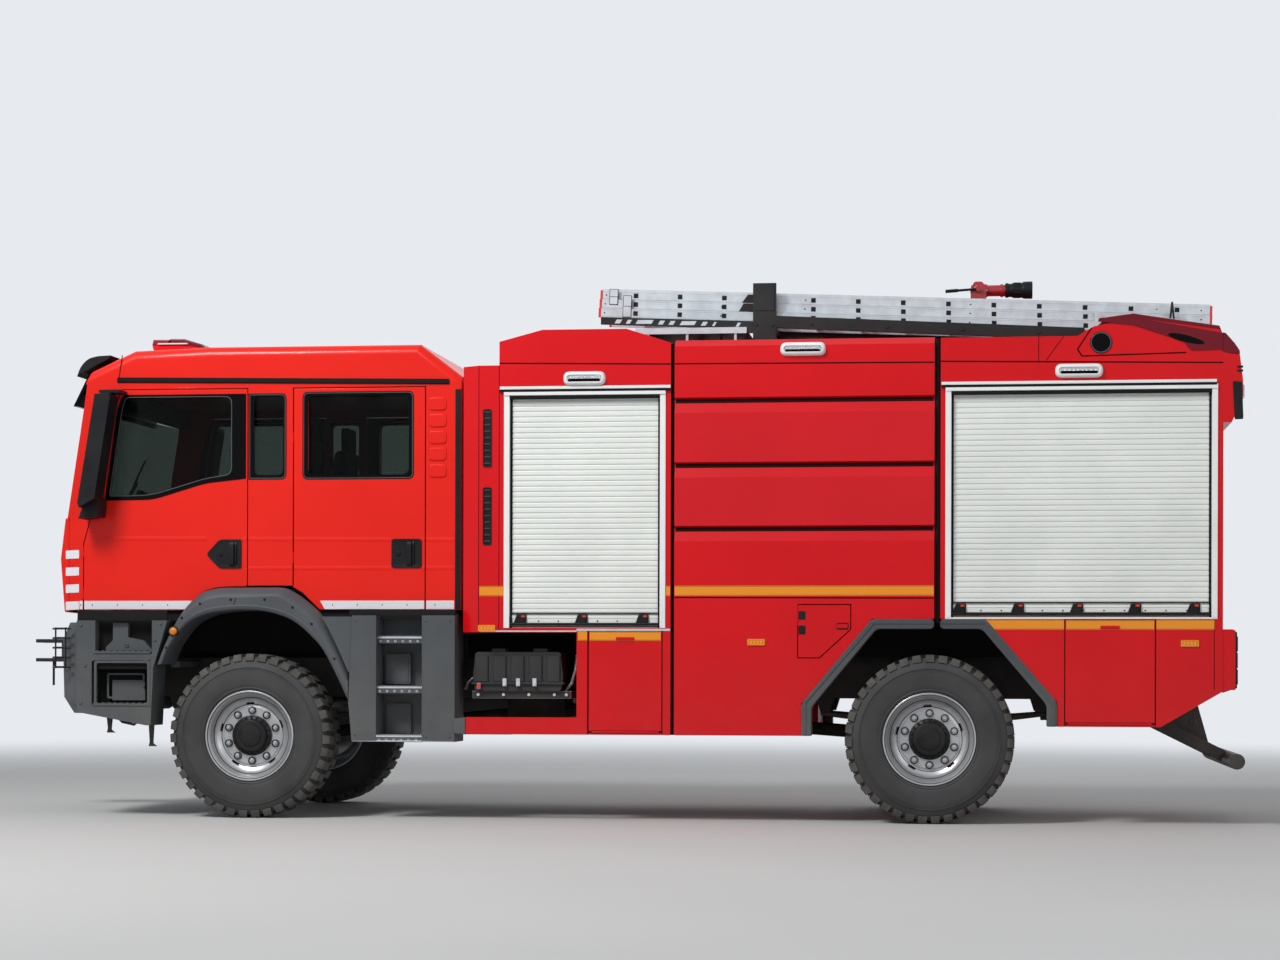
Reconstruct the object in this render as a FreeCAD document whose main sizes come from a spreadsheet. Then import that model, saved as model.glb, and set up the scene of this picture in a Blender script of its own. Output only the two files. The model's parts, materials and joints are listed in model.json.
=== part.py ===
import FreeCAD, Part
import Sketcher
import math
import os

# Fire engine with crew cab, tank body and two equipment lockers, in millimetres.
# The nose points to -X, the left side is -Y and the ground is at z = 0.
# The origin lies on the ground at the middle of the whole vehicle.

# Driving dimensions
SIZES = {
    # Running gear
    "wheelbase": 4500,
    "front_reach": 1860,
    "rear_reach": 2004,
    "track_half": 1045,
    "tyre_radius": 546,
    "tyre_width": 360,
    "lug_height": 18,
    "lug_length": 62,
    "lug_count": 30,
    "rim_radius": 300,
    "rim_width": 330,
    "rim_wall": 14,
    "rim_sides": 24,
    "dish_radius": 196,
    "dish_slope": 62,
    "bolt_circle": 335,
    "bolt_count": 10,
    "nut_radius": 17,
    "nut_height": 26,
    "hub_cap_radius": 122,
    "hub_cap_depth": 62,
    "dish_offset": 70,
    "spindle_radius": 45,
    "kingpin_y": 975,
    "kingpin_radius": 25,
    "knuckle_radius": 80,
    "knuckle_height": 220,
    "fork_plate": 22,
    "axle_tube_radius": 62,
    "differential_radius": 190,
    "differential_y": 120,
    "spring_length": 1500,
    "spring_width": 80,
    "spring_depth": 60,
    "spring_rise": 55,
    # Frame
    "rail_outer_y": 430,
    "rail_height": 270,
    "rail_bottom": 800,
    "rail_flange": 80,
    "rail_wall": 9,
    "rail_front": -1284.7,
    "rail_rear": 6200,
    "bumper_overhang": 90,
    "jaw_bore_radius": 21,
    "jaw_width": 240,
    "jaw_plate": 25,
    "jaw_height": 160,
    "jaw_z": 1120,
    "tow_bore_radius": 20,
    "tilt_arm_y": 240,
    "tilt_pin_radius": 22,
    "tilt_pivot_x": -1230,
    "tilt_pivot_z": 1130,
    # Cab
    "cab_half": 1120,
    "cab_wall": 60,
    "cab_front": -1270,
    "cab_back": 1413,
    "cab_bottom": 1385,
    "cab_gutter": 2905,
    "roof_front_top": 3130,
    "roof_top": 3150,
    "screen_bottom": 2010,
    "screen_top": 2790,
    "screen_bow": 60,
    "door_gap": 6,
    "front_door_front": -1170,
    "front_door_back": -42,
    "rear_door_front": 276,
    "rear_door_back": 1168,
    "door_top": 2862,
    "pane": 6,
    "arch_top": 1541,
    # Body
    "body_half": 1250,
    "body_top": 3140,
    "rear_drop": 10,
    "body_bottom": 565,
    "tunnel_half": 500,
    "tunnel_top": 1150,
    "rear_arch_top": 1322,
    "rear_bottom": 632,
    "body_front": 1438,
    "locker_front_length": 1385,
    "module_gap": 24,
    "tank_length": 1683,
    "rear_gap": 39,
    "locker_rear_length": 1785,
    "hood_depth": 122,
    "pump_door_half": 880,
    "pump_door_low": 1250,
    "pump_door_top": 2560,
    "band_depth": 28,
    "trim_width": 65,
    "flap_wall": 28,
    "hinge_radius": 8,
    "hinge_lip": 12,
    "shutter_recess": 45,
    "shutter_pitch": 35,
    "shutter_wall": 14,
    # Roof and rear equipment
    "ladder_length": 4060,
    "ladder_width": 560,
    "ladder_slope": 2.33,
    "stringer_height": 60,
    "rung_pitch": 300,
    "monitor_x": 231,
    "monitor_y": 350,
    "monitor_rise": 505,
    "guard_radius": 51,
    # Fits
    "seat": 0.3,
    "clearance": 6,
}

doc = FreeCAD.newDocument("FireEngine")
sheet = doc.addObject("Spreadsheet::Sheet", "Sizes")
for row, (alias, number) in enumerate(SIZES.items(), start=1):
    sheet.set(f"A{row}", alias)
    sheet.set(f"B{row}", str(number))
    sheet.setAlias(f"B{row}", alias)
doc.recompute()


# A length that knows its value and the sheet formula it comes from
class Size:
    def __init__(self, value, text):
        self.value = float(value)
        self.text = text

    def __add__(self, other):
        other = as_size(other)
        return Size(self.value + other.value, f"({self.text} + {other.text})")

    def __radd__(self, other):
        return as_size(other) + self

    def __sub__(self, other):
        other = as_size(other)
        return Size(self.value - other.value, f"({self.text} - {other.text})")

    def __rsub__(self, other):
        return as_size(other) - self

    def __mul__(self, other):
        other = as_size(other)
        return Size(self.value * other.value, f"({self.text} * {other.text})")

    def __rmul__(self, other):
        return as_size(other) * self

    def __truediv__(self, other):
        other = as_size(other)
        return Size(self.value / other.value, f"({self.text} / {other.text})")

    def __neg__(self):
        return Size(-self.value, f"(0 - {self.text})")


def as_size(number):
    if isinstance(number, Size):
        return number
    if number < 0:
        return Size(number, f"(0 - {abs(number):.6f})")
    return Size(number, f"{number:.6f}")


# The sheet's cells as sizes: s.wheelbase and so on
class Sheet:
    def __getattr__(self, alias):
        return Size(sheet.get(alias), f"Sizes.{alias}")


s = Sheet()
nodes = []


def bind(thing, prop, size):
    thing.setExpression(prop, as_size(size).text)


def move(thing, x, y, z):
    bind(thing, "Placement.Base.x", x)
    bind(thing, "Placement.Base.y", y)
    bind(thing, "Placement.Base.z", z)


def turn(thing, axis, degrees):
    thing.Placement = FreeCAD.Placement(FreeCAD.Vector(), FreeCAD.Rotation(FreeCAD.Vector(*axis), degrees))


# A block between two corners
def box(name, xs, ys, zs):
    block = doc.addObject("Part::Box", name)
    bind(block, "Length", xs[1] - as_size(xs[0]))
    bind(block, "Width", ys[1] - as_size(ys[0]))
    bind(block, "Height", zs[1] - as_size(zs[0]))
    move(block, xs[0], ys[0], zs[0])
    return block


# A round bar from a start point along X, Y or Z
def rod(name, along, start, radius, length):
    solid = doc.addObject("Part::Cylinder", name)
    bind(solid, "Radius", radius)
    bind(solid, "Height", length)
    if along == "x":
        turn(solid, (0, 1, 0), 90)
    elif along == "y":
        turn(solid, (1, 0, 0), -90)
    move(solid, *start)
    return solid


# A round bar from one point to another
def strut(name, start, end, radius):
    first = [as_size(value) for value in start]
    last = [as_size(value) for value in end]
    step = FreeCAD.Vector(*[b.value - a.value for a, b in zip(first, last)])
    solid = doc.addObject("Part::Prism", name)
    solid.Polygon = 8
    bind(solid, "Circumradius", radius)
    solid.Height = step.Length
    solid.Placement = FreeCAD.Placement(FreeCAD.Vector(), FreeCAD.Rotation(FreeCAD.Vector(0, 0, 1), step))
    move(solid, *first)
    return solid


# A many-sided bar, for round parts that nothing turns in
def bar(name, along, start, radius, length, sides=8):
    solid = doc.addObject("Part::Prism", name)
    solid.Polygon = sides
    bind(solid, "Circumradius", radius)
    bind(solid, "Height", length)
    if along == "x":
        turn(solid, (0, 1, 0), 90)
    elif along == "y":
        turn(solid, (1, 0, 0), -90)
    move(solid, *start)
    return solid


# A many-sided drum about the Y axis with flats or corners up; the end it faces is bevelled by (along, inward)
def drum(name, sides, radius, start, length, bevel, facing, flats):
    body = doc.addObject("PartDesign::Body", name)
    core = body.newObject("PartDesign::AdditivePrism", name + "_core")
    core.Polygon = sides
    spread = 1 / math.cos(math.pi / sides) if flats else 1
    bind(core, "Circumradius", as_size(radius) * spread)
    bind(core, "Height", length)
    core.Placement.Rotation = (FreeCAD.Rotation(FreeCAD.Vector(0, 1, 0), 180 / sides if flats else 0)
                               * FreeCAD.Rotation(FreeCAD.Vector(1, 0, 0), -90))
    level = as_size(start) if facing < 0 else -(as_size(start) + length)
    move(core, 0, level, 0)
    body.Tip = core
    if bevel is not None:
        doc.recompute()
        names = []
        for i, edge in enumerate(core.Shape.Edges, start=1):
            if all(abs(vertex.Point.y - level.value) < 0.01 for vertex in edge.Vertexes):
                names.append(f"Edge{i}")
        chamfer = body.newObject("PartDesign::Chamfer", name + "_bevel")
        chamfer.Base = (core, names)
        chamfer.ChamferType = "Two distances"
        bind(chamfer, "Size", bevel[0])
        bind(chamfer, "Size2", bevel[1])
        body.Tip = chamfer
    if facing > 0:
        body.Placement.Rotation = FreeCAD.Rotation(FreeCAD.Vector(1, 0, 0), 180)
    return body


# The same on both sides of the middle
def double_drum(name, sides, radius, half, bevel, flats):
    near = drum(name + "_near", sides, radius, -as_size(half), half, bevel, -1, flats)
    both = fuse(name, [near, mirrored(name + "_far", near)])
    both.Refine = True
    return both


def plane_of(body, role):
    for feature in body.Origin.OriginFeatures:
        if feature.Role == role:
            return feature
    raise ValueError(role)


# Closed outlines of straight lines, each corner tied to the sheet
def draw(sketch, outlines):
    for outline in outlines:
        first = sketch.GeometryCount
        count = len(outline)
        points = [FreeCAD.Vector(as_size(u).value, as_size(v).value, 0) for u, v in outline]
        for i in range(count):
            sketch.addGeometry(Part.LineSegment(points[i], points[(i + 1) % count]), False)
        for i in range(count):
            follower = first + (i + 1) % count
            sketch.addConstraint(Sketcher.Constraint("Coincident", first + i, 2, follower, 1))
        for i, (u, v) in enumerate(outline):
            for kind, size in (("DistanceX", u), ("DistanceY", v)):
                size = as_size(size)
                at = sketch.addConstraint(Sketcher.Constraint(kind, first + i, 1, size.value))
                sketch.setExpression(f"Constraints[{at}]", size.text)


def sketch_on(body, name, role, offset, outlines):
    sketch = body.newObject("Sketcher::SketchObject", name)
    sketch.AttachmentSupport = [(plane_of(body, role), "")]
    sketch.MapMode = "FlatFace"
    bind(sketch, "AttachmentOffset.Base.z", offset)
    draw(sketch, outlines)
    return sketch


PLANES = {"side": "XZ_Plane", "plan": "XY_Plane", "cross": "YZ_Plane"}


# A profile pushed from start to stop: side view along Y, plan along Z, cross-section along X
def prism(name, view, outlines, start, stop):
    body = doc.addObject("PartDesign::Body", name)
    if view == "side":
        sketch = sketch_on(body, name + "_outline", PLANES[view], -as_size(stop), outlines)
    else:
        sketch = sketch_on(body, name + "_outline", PLANES[view], start, outlines)
    pad = body.newObject("PartDesign::Pad", name + "_pad")
    pad.Profile = sketch
    bind(pad, "Length", stop - as_size(start))
    body.Tip = pad
    return body


# Straight-sided loft through outlines at several heights
def plan_loft(name, levels):
    body = doc.addObject("PartDesign::Body", name)
    sketches = []
    for i, (level, outline) in enumerate(levels):
        sketches.append(sketch_on(body, f"{name}_level{i}", PLANES["plan"], level, [outline]))
    loft = body.newObject("PartDesign::AdditiveLoft", name + "_loft")
    loft.Profile = sketches[0]
    loft.Sections = sketches[1:]
    loft.Ruled = True
    body.Tip = loft
    return body


# Rounds the edges that the test picks
def rounded(body, radius, test):
    doc.recompute()
    base = body.Tip
    names = []
    for i, edge in enumerate(base.Shape.Edges, start=1):
        if test(edge):
            names.append(f"Edge{i}")
    fillet = body.newObject("PartDesign::Fillet", body.Name + "_round")
    fillet.Base = (base, names)
    bind(fillet, "Radius", radius)
    body.Tip = fillet
    return body


# Bevels the edges that the test picks
def chamfered(body, size, test):
    doc.recompute()
    base = body.Tip
    names = []
    for i, edge in enumerate(base.Shape.Edges, start=1):
        if test(edge):
            names.append(f"Edge{i}")
    bevel = body.newObject("PartDesign::Chamfer", body.Name + "_bevel")
    bevel.Base = (base, names)
    bind(bevel, "Size", size)
    body.Tip = bevel
    return body


def rectangle(us, vs):
    return [(us[0], vs[0]), (us[1], vs[0]), (us[1], vs[1]), (us[0], vs[1])]


def fuse(name, pieces):
    joined = doc.addObject("Part::MultiFuse", name)
    joined.Shapes = pieces
    return joined


def cut(name, base, tools):
    if len(tools) > 1:
        tool = fuse(name + "_tools", tools)
    else:
        tool = tools[0]
    result = doc.addObject("Part::Cut", name)
    result.Base = base
    result.Tool = tool
    return result


def mirrored(name, piece):
    copy = doc.addObject("Part::Mirroring", name)
    copy.Source = piece
    copy.Normal = FreeCAD.Vector(0, 1, 0)
    return copy


def together(name, pieces):
    group = doc.addObject("Part::Compound", name)
    group.Links = pieces
    return group


def pair(name, piece):
    return together(name, [piece, mirrored(name + "_right", piece)])


def node(label, piece):
    piece.Label = label
    nodes.append(piece)
    return piece


# Places along the vehicle, from the front axle back
axle = (s.front_reach - s.wheelbase - s.rear_reach) / 2
rear_axle = axle + s.wheelbase
hub = s.tyre_radius


spring_seat = hub + s.axle_tube_radius + 22
spring_eye_top = spring_seat + s.spring_rise + s.spring_depth * 0.4


def at(x):
    return axle + x


body_start = at(s.body_front)
locker_end = body_start + s.locker_front_length
tank_start = locker_end + s.module_gap
tank_end = tank_start + s.tank_length
rear_start = tank_end + s.rear_gap
rear_end = rear_start + s.locker_rear_length
hood_end = rear_end + s.hood_depth
rear_top = s.body_top - s.rear_drop


# Frame: two channel rails, cross members, tilt brackets and the front jaw
def chassis_frame():
    low = s.rail_bottom
    high = low + s.rail_height
    outer = -s.rail_outer_y
    inner = outer + s.rail_flange
    web = outer + s.rail_wall
    channel = [(outer, low), (inner, low), (inner, low + s.rail_wall), (web, low + s.rail_wall),
               (web, high - s.rail_wall), (inner, high - s.rail_wall), (inner, high), (outer, high)]
    rail = prism("rail", "cross", [channel], at(s.rail_front), at(s.rail_rear))
    pieces = [rail, mirrored("rail_right", rail)]
    for i, x in enumerate((s.rail_front, 1200, 2060, 2900, 3900, 5100, s.rail_rear - 100)):
        x = as_size(x)
        pieces.append(box(f"cross_member{i}", (at(x), at(x + 100)), (web, -web), (low + 60, high - 60)))
    # Bearings that the cab tilts on, and posts that hold its back
    near = -s.tilt_arm_y
    bearing = prism("tilt_bearing", "side",
                    [[(at(s.tilt_pivot_x - 45), low + 60), (at(s.tilt_pivot_x + 85), low + 60),
                      (at(s.tilt_pivot_x + 45), s.tilt_pivot_z + 40), (at(s.tilt_pivot_x - 45), s.tilt_pivot_z + 40)]],
                    near - 45, near - s.seat)
    pin = rod("tilt_pin", "y", (at(s.tilt_pivot_x), near - 20, s.tilt_pivot_z), s.tilt_pin_radius, 60)
    post = box("cab_post", (at(1230), at(1310)), (outer, inner), (high, s.cab_bottom + 5 - s.seat))
    for form in (bearing, pin, post):
        pieces += [form, mirrored(form.Name + "_right", form)]
    bearer = box("body_bearer", (at(s.body_front + 20), at(s.rail_rear)), (outer, inner), (high, s.tunnel_top - s.seat))
    pieces += [bearer, mirrored("body_bearer_right", bearer)]
    # Towing jaw at the front: two bored plates on a shank
    tip = at(-s.front_reach)
    middle = s.jaw_z
    half = s.jaw_width / 2
    for i, z in enumerate((middle + s.jaw_height / 2 - s.jaw_plate, middle - s.jaw_height / 2)):
        plate = box(f"jaw_plate{i}", (tip, tip + 230), (-half, half), (z, z + s.jaw_plate))
        pieces.append(cut(f"jaw_plate_bored{i}", plate,
                          [rod(f"jaw_bore{i}", "z", (tip + 70, 0, z - 5), s.jaw_bore_radius, s.jaw_plate + 10)]))
    pieces.append(box("jaw_shank", (tip + 190, at(s.rail_front + 100)), (-half, half),
                      (middle - s.jaw_height / 2, middle + s.jaw_height / 2)))
    pieces.append(box("jaw_root", (at(s.rail_front), at(s.rail_front + 100)), (-half, half), (low + 60, middle)))
    pieces.append(bar("jaw_stub", "z", (tip + 60, half - 30, 870), 9, middle - s.jaw_height / 2 - 865))
    # Towing plate at the back
    plate = box("tow_plate", (at(s.rail_rear - 20), at(s.rail_rear + 110)), (-70, 70), (low + 70, low + 100))
    pieces.append(cut("tow_plate_bored", plate,
                      [rod("tow_bore", "z", (at(s.rail_rear + 60), 0, low + 65), s.tow_bore_radius, 40)]))
    # Spring hangers and rear arms under the rails
    for i, x in enumerate((0, 4500)):
        for j, end in enumerate((-1, 1)):
            middle_x = at(as_size(x) + end * (s.spring_length / 2 - 30))
            foot = spring_eye_top + s.seat
            hanger = prism(f"hanger{i}{j}", "side",
                           [[(middle_x - 60, low + 5), (middle_x - 30, foot), (middle_x + 30, foot),
                             (middle_x + 60, low + 5)]], outer, inner)
            pieces += [hanger, mirrored(f"hanger_right{i}{j}", hanger)]
    return fuse("chassis_frame_form", pieces)


# Engine block, gearbox, transfer case and shafts between the rails
def powertrain():
    engine = box("engine_block", (at(-720), at(330)), (-320, 320), (760, 1340))
    gearbox = prism("gearbox", "plan", [[(at(330), -210), (at(1100), -150), (at(1100), 150), (at(330), 210)]], 780, 1080)
    transfer = box("transfer_case", (at(1560), at(1960)), (-170, 230), (620, 1060))
    pieces = [engine, gearbox, transfer]
    pieces.append(bar("short_shaft", "x", (at(1090), 0, 815), 38, 480))
    reach = s.differential_radius + 20 + s.clearance
    web = -s.rail_outer_y + s.rail_wall + s.seat
    mount = box("engine_mount", (at(-420), at(-320)), (web, -310), (840, 920))
    pieces += [mount, mirrored("engine_mount_right", mount)]
    front = strut("front_shaft", (axle + reach, s.differential_y, hub), (at(1580), s.differential_y, hub + 140), 40)
    rear = strut("rear_shaft", (at(1940), 0, hub + 170), (rear_axle - reach, 0, hub), 45)
    return fuse("powertrain_form", pieces + [front, rear])


# Axle tube with differential; the front one ends in forks that hold the kingpins
def axle_housing(name, centre_x, offset, end_y, toward):
    tube = bar(name + "_tube", "y", (centre_x, -end_y, hub), s.axle_tube_radius, end_y * 2, 12)
    wide = s.differential_radius
    ball = double_drum(name + "_ball", 12, wide, wide * 0.8, (80, 110), False)
    move(ball, centre_x, offset, hub)
    length = s.differential_radius + 20
    start = centre_x if toward > 0 else centre_x - length
    nose = bar(name + "_nose", "x", (start, offset, hub), 80, length)
    return [tube, ball, nose]


def front_axle():
    end = s.kingpin_y - s.knuckle_radius - s.clearance
    pieces = axle_housing("front_axle", axle, s.differential_y, end, 1)
    half = s.knuckle_height / 2
    wide = s.axle_tube_radius
    for side in (-1, 1):
        tag = "left" if side < 0 else "right"
        inner = side * (end - 60)
        outer = side * (s.kingpin_y + 45)
        ys = (outer, inner) if side < 0 else (inner, outer)
        root = side * end
        wall = (root, inner) if side < 0 else (inner, root)
        top = hub + half + s.seat
        low = hub - half - s.seat
        pieces.append(box(f"fork_top_{tag}", (axle - wide, axle + wide), ys, (top, top + s.fork_plate)))
        pieces.append(box(f"fork_low_{tag}", (axle - wide, axle + wide), ys, (low - s.fork_plate, low)))
        pieces.append(box(f"fork_back_{tag}", (axle - wide, axle + wide), wall,
                          (low - s.fork_plate, top + s.fork_plate)))
        pieces.append(rod(f"kingpin_{tag}", "z", (axle, side * s.kingpin_y, low - s.fork_plate),
                          s.kingpin_radius, s.knuckle_height + 2 * (s.fork_plate + s.seat)))
    return fuse("front_axle_form", pieces)


def rear_axle_housing():
    end = s.track_half - 20
    pieces = axle_housing("rear_axle", rear_axle, 0, end, -1)
    spindle_end = s.track_half + 100
    pieces.append(rod("rear_spindle", "y", (rear_axle, -spindle_end, hub), s.spindle_radius, spindle_end * 2))
    return fuse("rear_axle_form", pieces)


# Leaf springs: one curved pack over each axle end, with its clamp
def leaf_springs():
    pieces = []
    steps = 8
    outer = -s.rail_outer_y
    inner = outer + s.spring_width
    for i, centre in enumerate((axle, rear_axle)):
        top = []
        low = []
        for k in range(steps + 1):
            part = -1 + 2 * k / steps
            rise = s.spring_rise * (part * part)
            thick = 1 - 0.6 * abs(part)
            x = centre + s.spring_length / 2 * part
            low.append((x, spring_seat + rise))
            top.append((x, spring_seat + rise + s.spring_depth * thick))
        leaf = prism(f"leaf{i}", "side", [low + top[::-1]], outer, inner)
        clamp = box(f"clamp{i}", (centre - 70, centre + 70), (outer - 8, inner + 8),
                    (hub + s.axle_tube_radius + s.seat, spring_seat + s.spring_depth + 14))
        pieces += [leaf, clamp, mirrored(f"leaf_right{i}", leaf), mirrored(f"clamp_right{i}", clamp)]
    return fuse("leaf_springs_form", pieces)


# Steering knuckle: a drum bored for the kingpin, with the wheel's spindle
def knuckle(name, side):
    half = s.knuckle_height / 2
    drum = bar(name + "_drum", "z", (axle, side * s.kingpin_y, hub - half), s.knuckle_radius, s.knuckle_height)
    start = s.kingpin_y + s.knuckle_radius - 10
    length = s.track_half + 100 - start
    if side < 0:
        spindle_y = -(start + length)
    else:
        spindle_y = start
    spindle = rod(name + "_spindle", "y", (axle, spindle_y, hub), s.spindle_radius, length)
    bore = rod(name + "_bore", "z", (axle, side * s.kingpin_y, hub - half - 5),
               s.kingpin_radius + s.seat, s.knuckle_height + 10)
    return cut(name, fuse(name + "_solid", [drum, spindle]), [bore])


# Wheel at the origin with its outer face towards +Y: rim, dish, hub cap and nuts
def wheel_master():
    half = s.rim_width / 2
    sides = int(s.rim_sides.value)
    lip = s.rim_radius - s.rim_wall
    face = s.dish_offset + 8
    back = s.dish_offset - 34
    barrel = drum("rim_barrel", sides, s.rim_radius, -half, s.rim_width, None, -1, False)
    dish = drum("rim_dish", sides, lip, face, half - face + 1, (s.dish_slope, lip - s.dish_radius), -1, False)
    hollow = drum("rim_hollow", sides, lip, -half - 1, back + half + 1, (s.dish_slope, s.dish_slope), 1, False)
    boss = bar("rim_boss", "y", (0, s.dish_offset - 50, 0), 100, 30, 12)
    cap = drum("hub_cap", 12, s.hub_cap_radius, face - 2, s.hub_cap_depth + 2,
               (16, s.hub_cap_radius * 0.3), 1, True)
    nuts = []
    for k in range(int(s.bolt_count.value)):
        angle = 2 * math.pi * (k + 0.5) / s.bolt_count.value
        nuts.append(bar(f"nut{k}", "y", (s.bolt_circle / 2 * math.cos(angle), face - 2, s.bolt_circle / 2 * math.sin(angle)),
                        s.nut_radius, s.nut_height, 6))
    solid = fuse("wheel_solid", [cut("rim_cut", barrel, [dish, hollow]), boss, cap] + nuts)
    bore = rod("wheel_bore", "y", (0, s.dish_offset - 55, 0), s.spindle_radius + s.seat, 87)
    return cut("wheel_form", solid, [bore])


# Tyre at the origin: a many-sided carcass with lugs across the tread and over the shoulders
def tyre_master():
    sides = int(s.lug_count.value)
    half = s.tyre_width / 2
    tread = s.tyre_radius - s.lug_height
    core = double_drum("carcass", sides, tread, half, (28, 104), True)
    hole = drum("bead_hole", sides, s.rim_radius + s.seat, -half - 5, s.tyre_width + 10, None, -1, True)
    body = cut("tyre_carcass", core, [hole])
    lugs = []
    outline = [(-half + 32, tread - 60), (-half + 8, tread - 42), (-half + 24, s.tyre_radius),
               (half - 24, s.tyre_radius), (half - 8, tread - 42), (half - 32, tread - 60)]
    for k in range(sides):
        lug = prism(f"lug{k}", "cross", [outline], -s.lug_length / 2, s.lug_length / 2)
        lug.Placement = FreeCAD.Placement(FreeCAD.Vector(), FreeCAD.Rotation(FreeCAD.Vector(0, 1, 0), 360 * k / sides))
        lugs.append(lug)
    return fuse("tyre_form", [body] + lugs)


def hinge_barrel(name, edge, face, z):
    return rod(name, "z", (edge - s.hinge_radius - s.seat, face + 2, z), s.hinge_radius, 70)


# Cab: side frames like combs around the doors, floor stepped over the wheels, walls and screen header
def side_outline():
    low = s.cab_bottom
    gap = s.door_gap
    front = s.front_door_front - gap
    back = s.front_door_back + gap
    second = s.rear_door_front - gap
    third = s.rear_door_back + gap
    head = s.door_top + gap
    return [(at(s.cab_front), low), (at(front), low), (at(front), 1830), (at(-1090 - gap), 2112),
            (at(-935 - gap), 2793), (at(-905 - gap), head), (at(back), head), (at(back), s.arch_top + gap),
            (at(second), s.arch_top + gap), (at(second), head), (at(third), head), (at(third), low),
            (at(s.cab_back), low), (at(s.cab_back), s.cab_gutter), (at(-1150), s.cab_gutter),
            (at(-1165), s.screen_top), (at(-1285), s.screen_bottom - 5), (at(s.cab_front), s.screen_bottom - 5)]


def cab_shell():
    inner = -s.cab_half + s.cab_wall
    window = rectangle((at(-8), at(215)), (2268, 2828))
    side = prism("cab_side", "side", [side_outline(), window], -s.cab_half, inner)
    low = s.cab_bottom + 5
    deck = low + 40
    top = s.arch_top + 24
    floor = prism("cab_floor", "side",
                  [[(at(s.cab_front), low), (at(-510), low), (at(-330), top), (at(300), top), (at(480), low),
                    (at(s.cab_back), low), (at(s.cab_back), deck), (at(498), deck), (at(318), top + 40),
                    (at(-348), top + 40), (at(-528), deck), (at(s.cab_front), deck)]], inner, -inner)
    back = box("cab_back_wall", (at(s.cab_back - s.cab_wall), at(s.cab_back)), (inner, -inner), (low, s.cab_gutter))
    front = box("cab_front_wall", (at(s.cab_front), at(s.cab_front + 50)), (inner, -inner),
                (low, s.screen_bottom - 5))
    header = prism("cab_header", "side",
                   [[(at(-1165), s.screen_top), (at(-1150), s.cab_gutter), (at(-1080), s.cab_gutter),
                     (at(-1095), s.screen_top)]], inner, -inner)
    # Arms that reach down to the tilt pins
    near = -s.tilt_arm_y
    pivot_x = at(s.tilt_pivot_x)
    arm = prism("tilt_arm", "side",
                [[(pivot_x - 38, s.tilt_pivot_z - 38), (pivot_x + 38, s.tilt_pivot_z - 38), (pivot_x + 60, low + 5),
                  (pivot_x - 38, low + 5)]], near, near + 30)
    bore = rod("tilt_arm_bore", "y", (pivot_x, near - 5, s.tilt_pivot_z), s.tilt_pin_radius + s.seat, 40)
    arm = cut("tilt_arm_bored", arm, [bore])
    pieces = [side, mirrored("cab_side_right", side), floor, back, front, header, arm, mirrored("tilt_arm_right", arm)]
    for name, edge, heights in (("front", s.front_door_front, (1460, 1740)), ("rear", s.rear_door_front, (1700, 2500))):
        for i, z in enumerate(heights):
            barrel = hinge_barrel(f"{name}_hinge{i}", at(edge), -s.cab_half, z)
            pieces += [barrel, mirrored(barrel.Name + "_right", barrel)]
    return fuse("cab_shell_form", pieces)


# Roof cap above the gutter, swept down at nose and back, with rounded long edges
def cab_roof():
    base = s.cab_gutter
    body = prism("cab_roof_form", "side",
                 [[(at(-1160), base), (at(-1120), 3000), (at(-830), s.roof_front_top), (at(-300), s.roof_top),
                   (at(1130), s.roof_top), (at(s.cab_back), base + 30), (at(s.cab_back), base)]],
                 -s.cab_half, s.cab_half)
    half = s.cab_half.value

    def long_top_edge(edge):
        middle = edge.CenterOfMass
        on_side = abs(abs(middle.y) - half) < 1
        return on_side and middle.z > base.value + 40 and edge.Length > 250

    return rounded(body, 70, long_top_edge)


# Bowed windscreen and the two fixed quarter panes
def cab_glass():
    reach = s.cab_half - s.cab_wall - s.seat

    def bow(x, thick):
        return [(at(x), -reach), (at(x - s.screen_bow * 0.6), -reach * 0.6), (at(x - s.screen_bow), 0),
                (at(x - s.screen_bow * 0.6), reach * 0.6), (at(x), reach), (at(x + thick), reach),
                (at(x - s.screen_bow * 0.6 + thick), reach * 0.6), (at(x - s.screen_bow + thick), 0),
                (at(x - s.screen_bow * 0.6 + thick), -reach * 0.6), (at(x + thick), -reach)]

    screen = plan_loft("windscreen", [(s.screen_bottom, bow(-1290, 8)), (s.screen_top - s.seat, bow(-1170, 8))])
    fit = s.seat
    middle = -s.cab_half + s.cab_wall / 2
    quarter = prism("quarter_pane", "side", [rectangle((at(-8) + fit, at(215) - fit), (2268 + fit, 2828 - fit))],
                    middle, middle + s.pane)
    return together("cab_glass_form", [screen, quarter, mirrored("quarter_pane_right", quarter)])


# Bowed panel under the windscreen with the grille slots
def front_panel():
    half = s.cab_half

    def plan(x):
        back = at(s.cab_front) - s.seat
        return [(back, -half), (at(x), -half), (at(x - 45), -half * 0.72), (at(x - 62), 0), (at(x - 45), half * 0.72),
                (at(x), half), (back, half)]

    body = plan_loft("front_panel_form", [(s.cab_bottom - 15, plan(-1305)), (1730, plan(-1333)),
                                     (s.screen_bottom - 5, plan(-1300))])
    slots = []
    for i in range(5):
        z = 1440 + 100 * i
        slots.append(box(f"grille_slot{i}", (at(-1450), at(-1340)), (-620, 620), (z, z + 60)))
    return cut("front_panel_slotted", body, slots)


# Doors: frames around the glass, cut back over the wheel
def front_door_outline():
    low = s.cab_bottom
    front = at(s.front_door_front)
    back = at(s.front_door_back)
    return [(front, low), (at(-478), low), (at(-325), s.arch_top - 6), (back, s.arch_top + 6), (back, s.door_top),
            (at(-905), s.door_top), (at(-935), 2793), (at(-1090), 2112), (front, 1830)]


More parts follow.
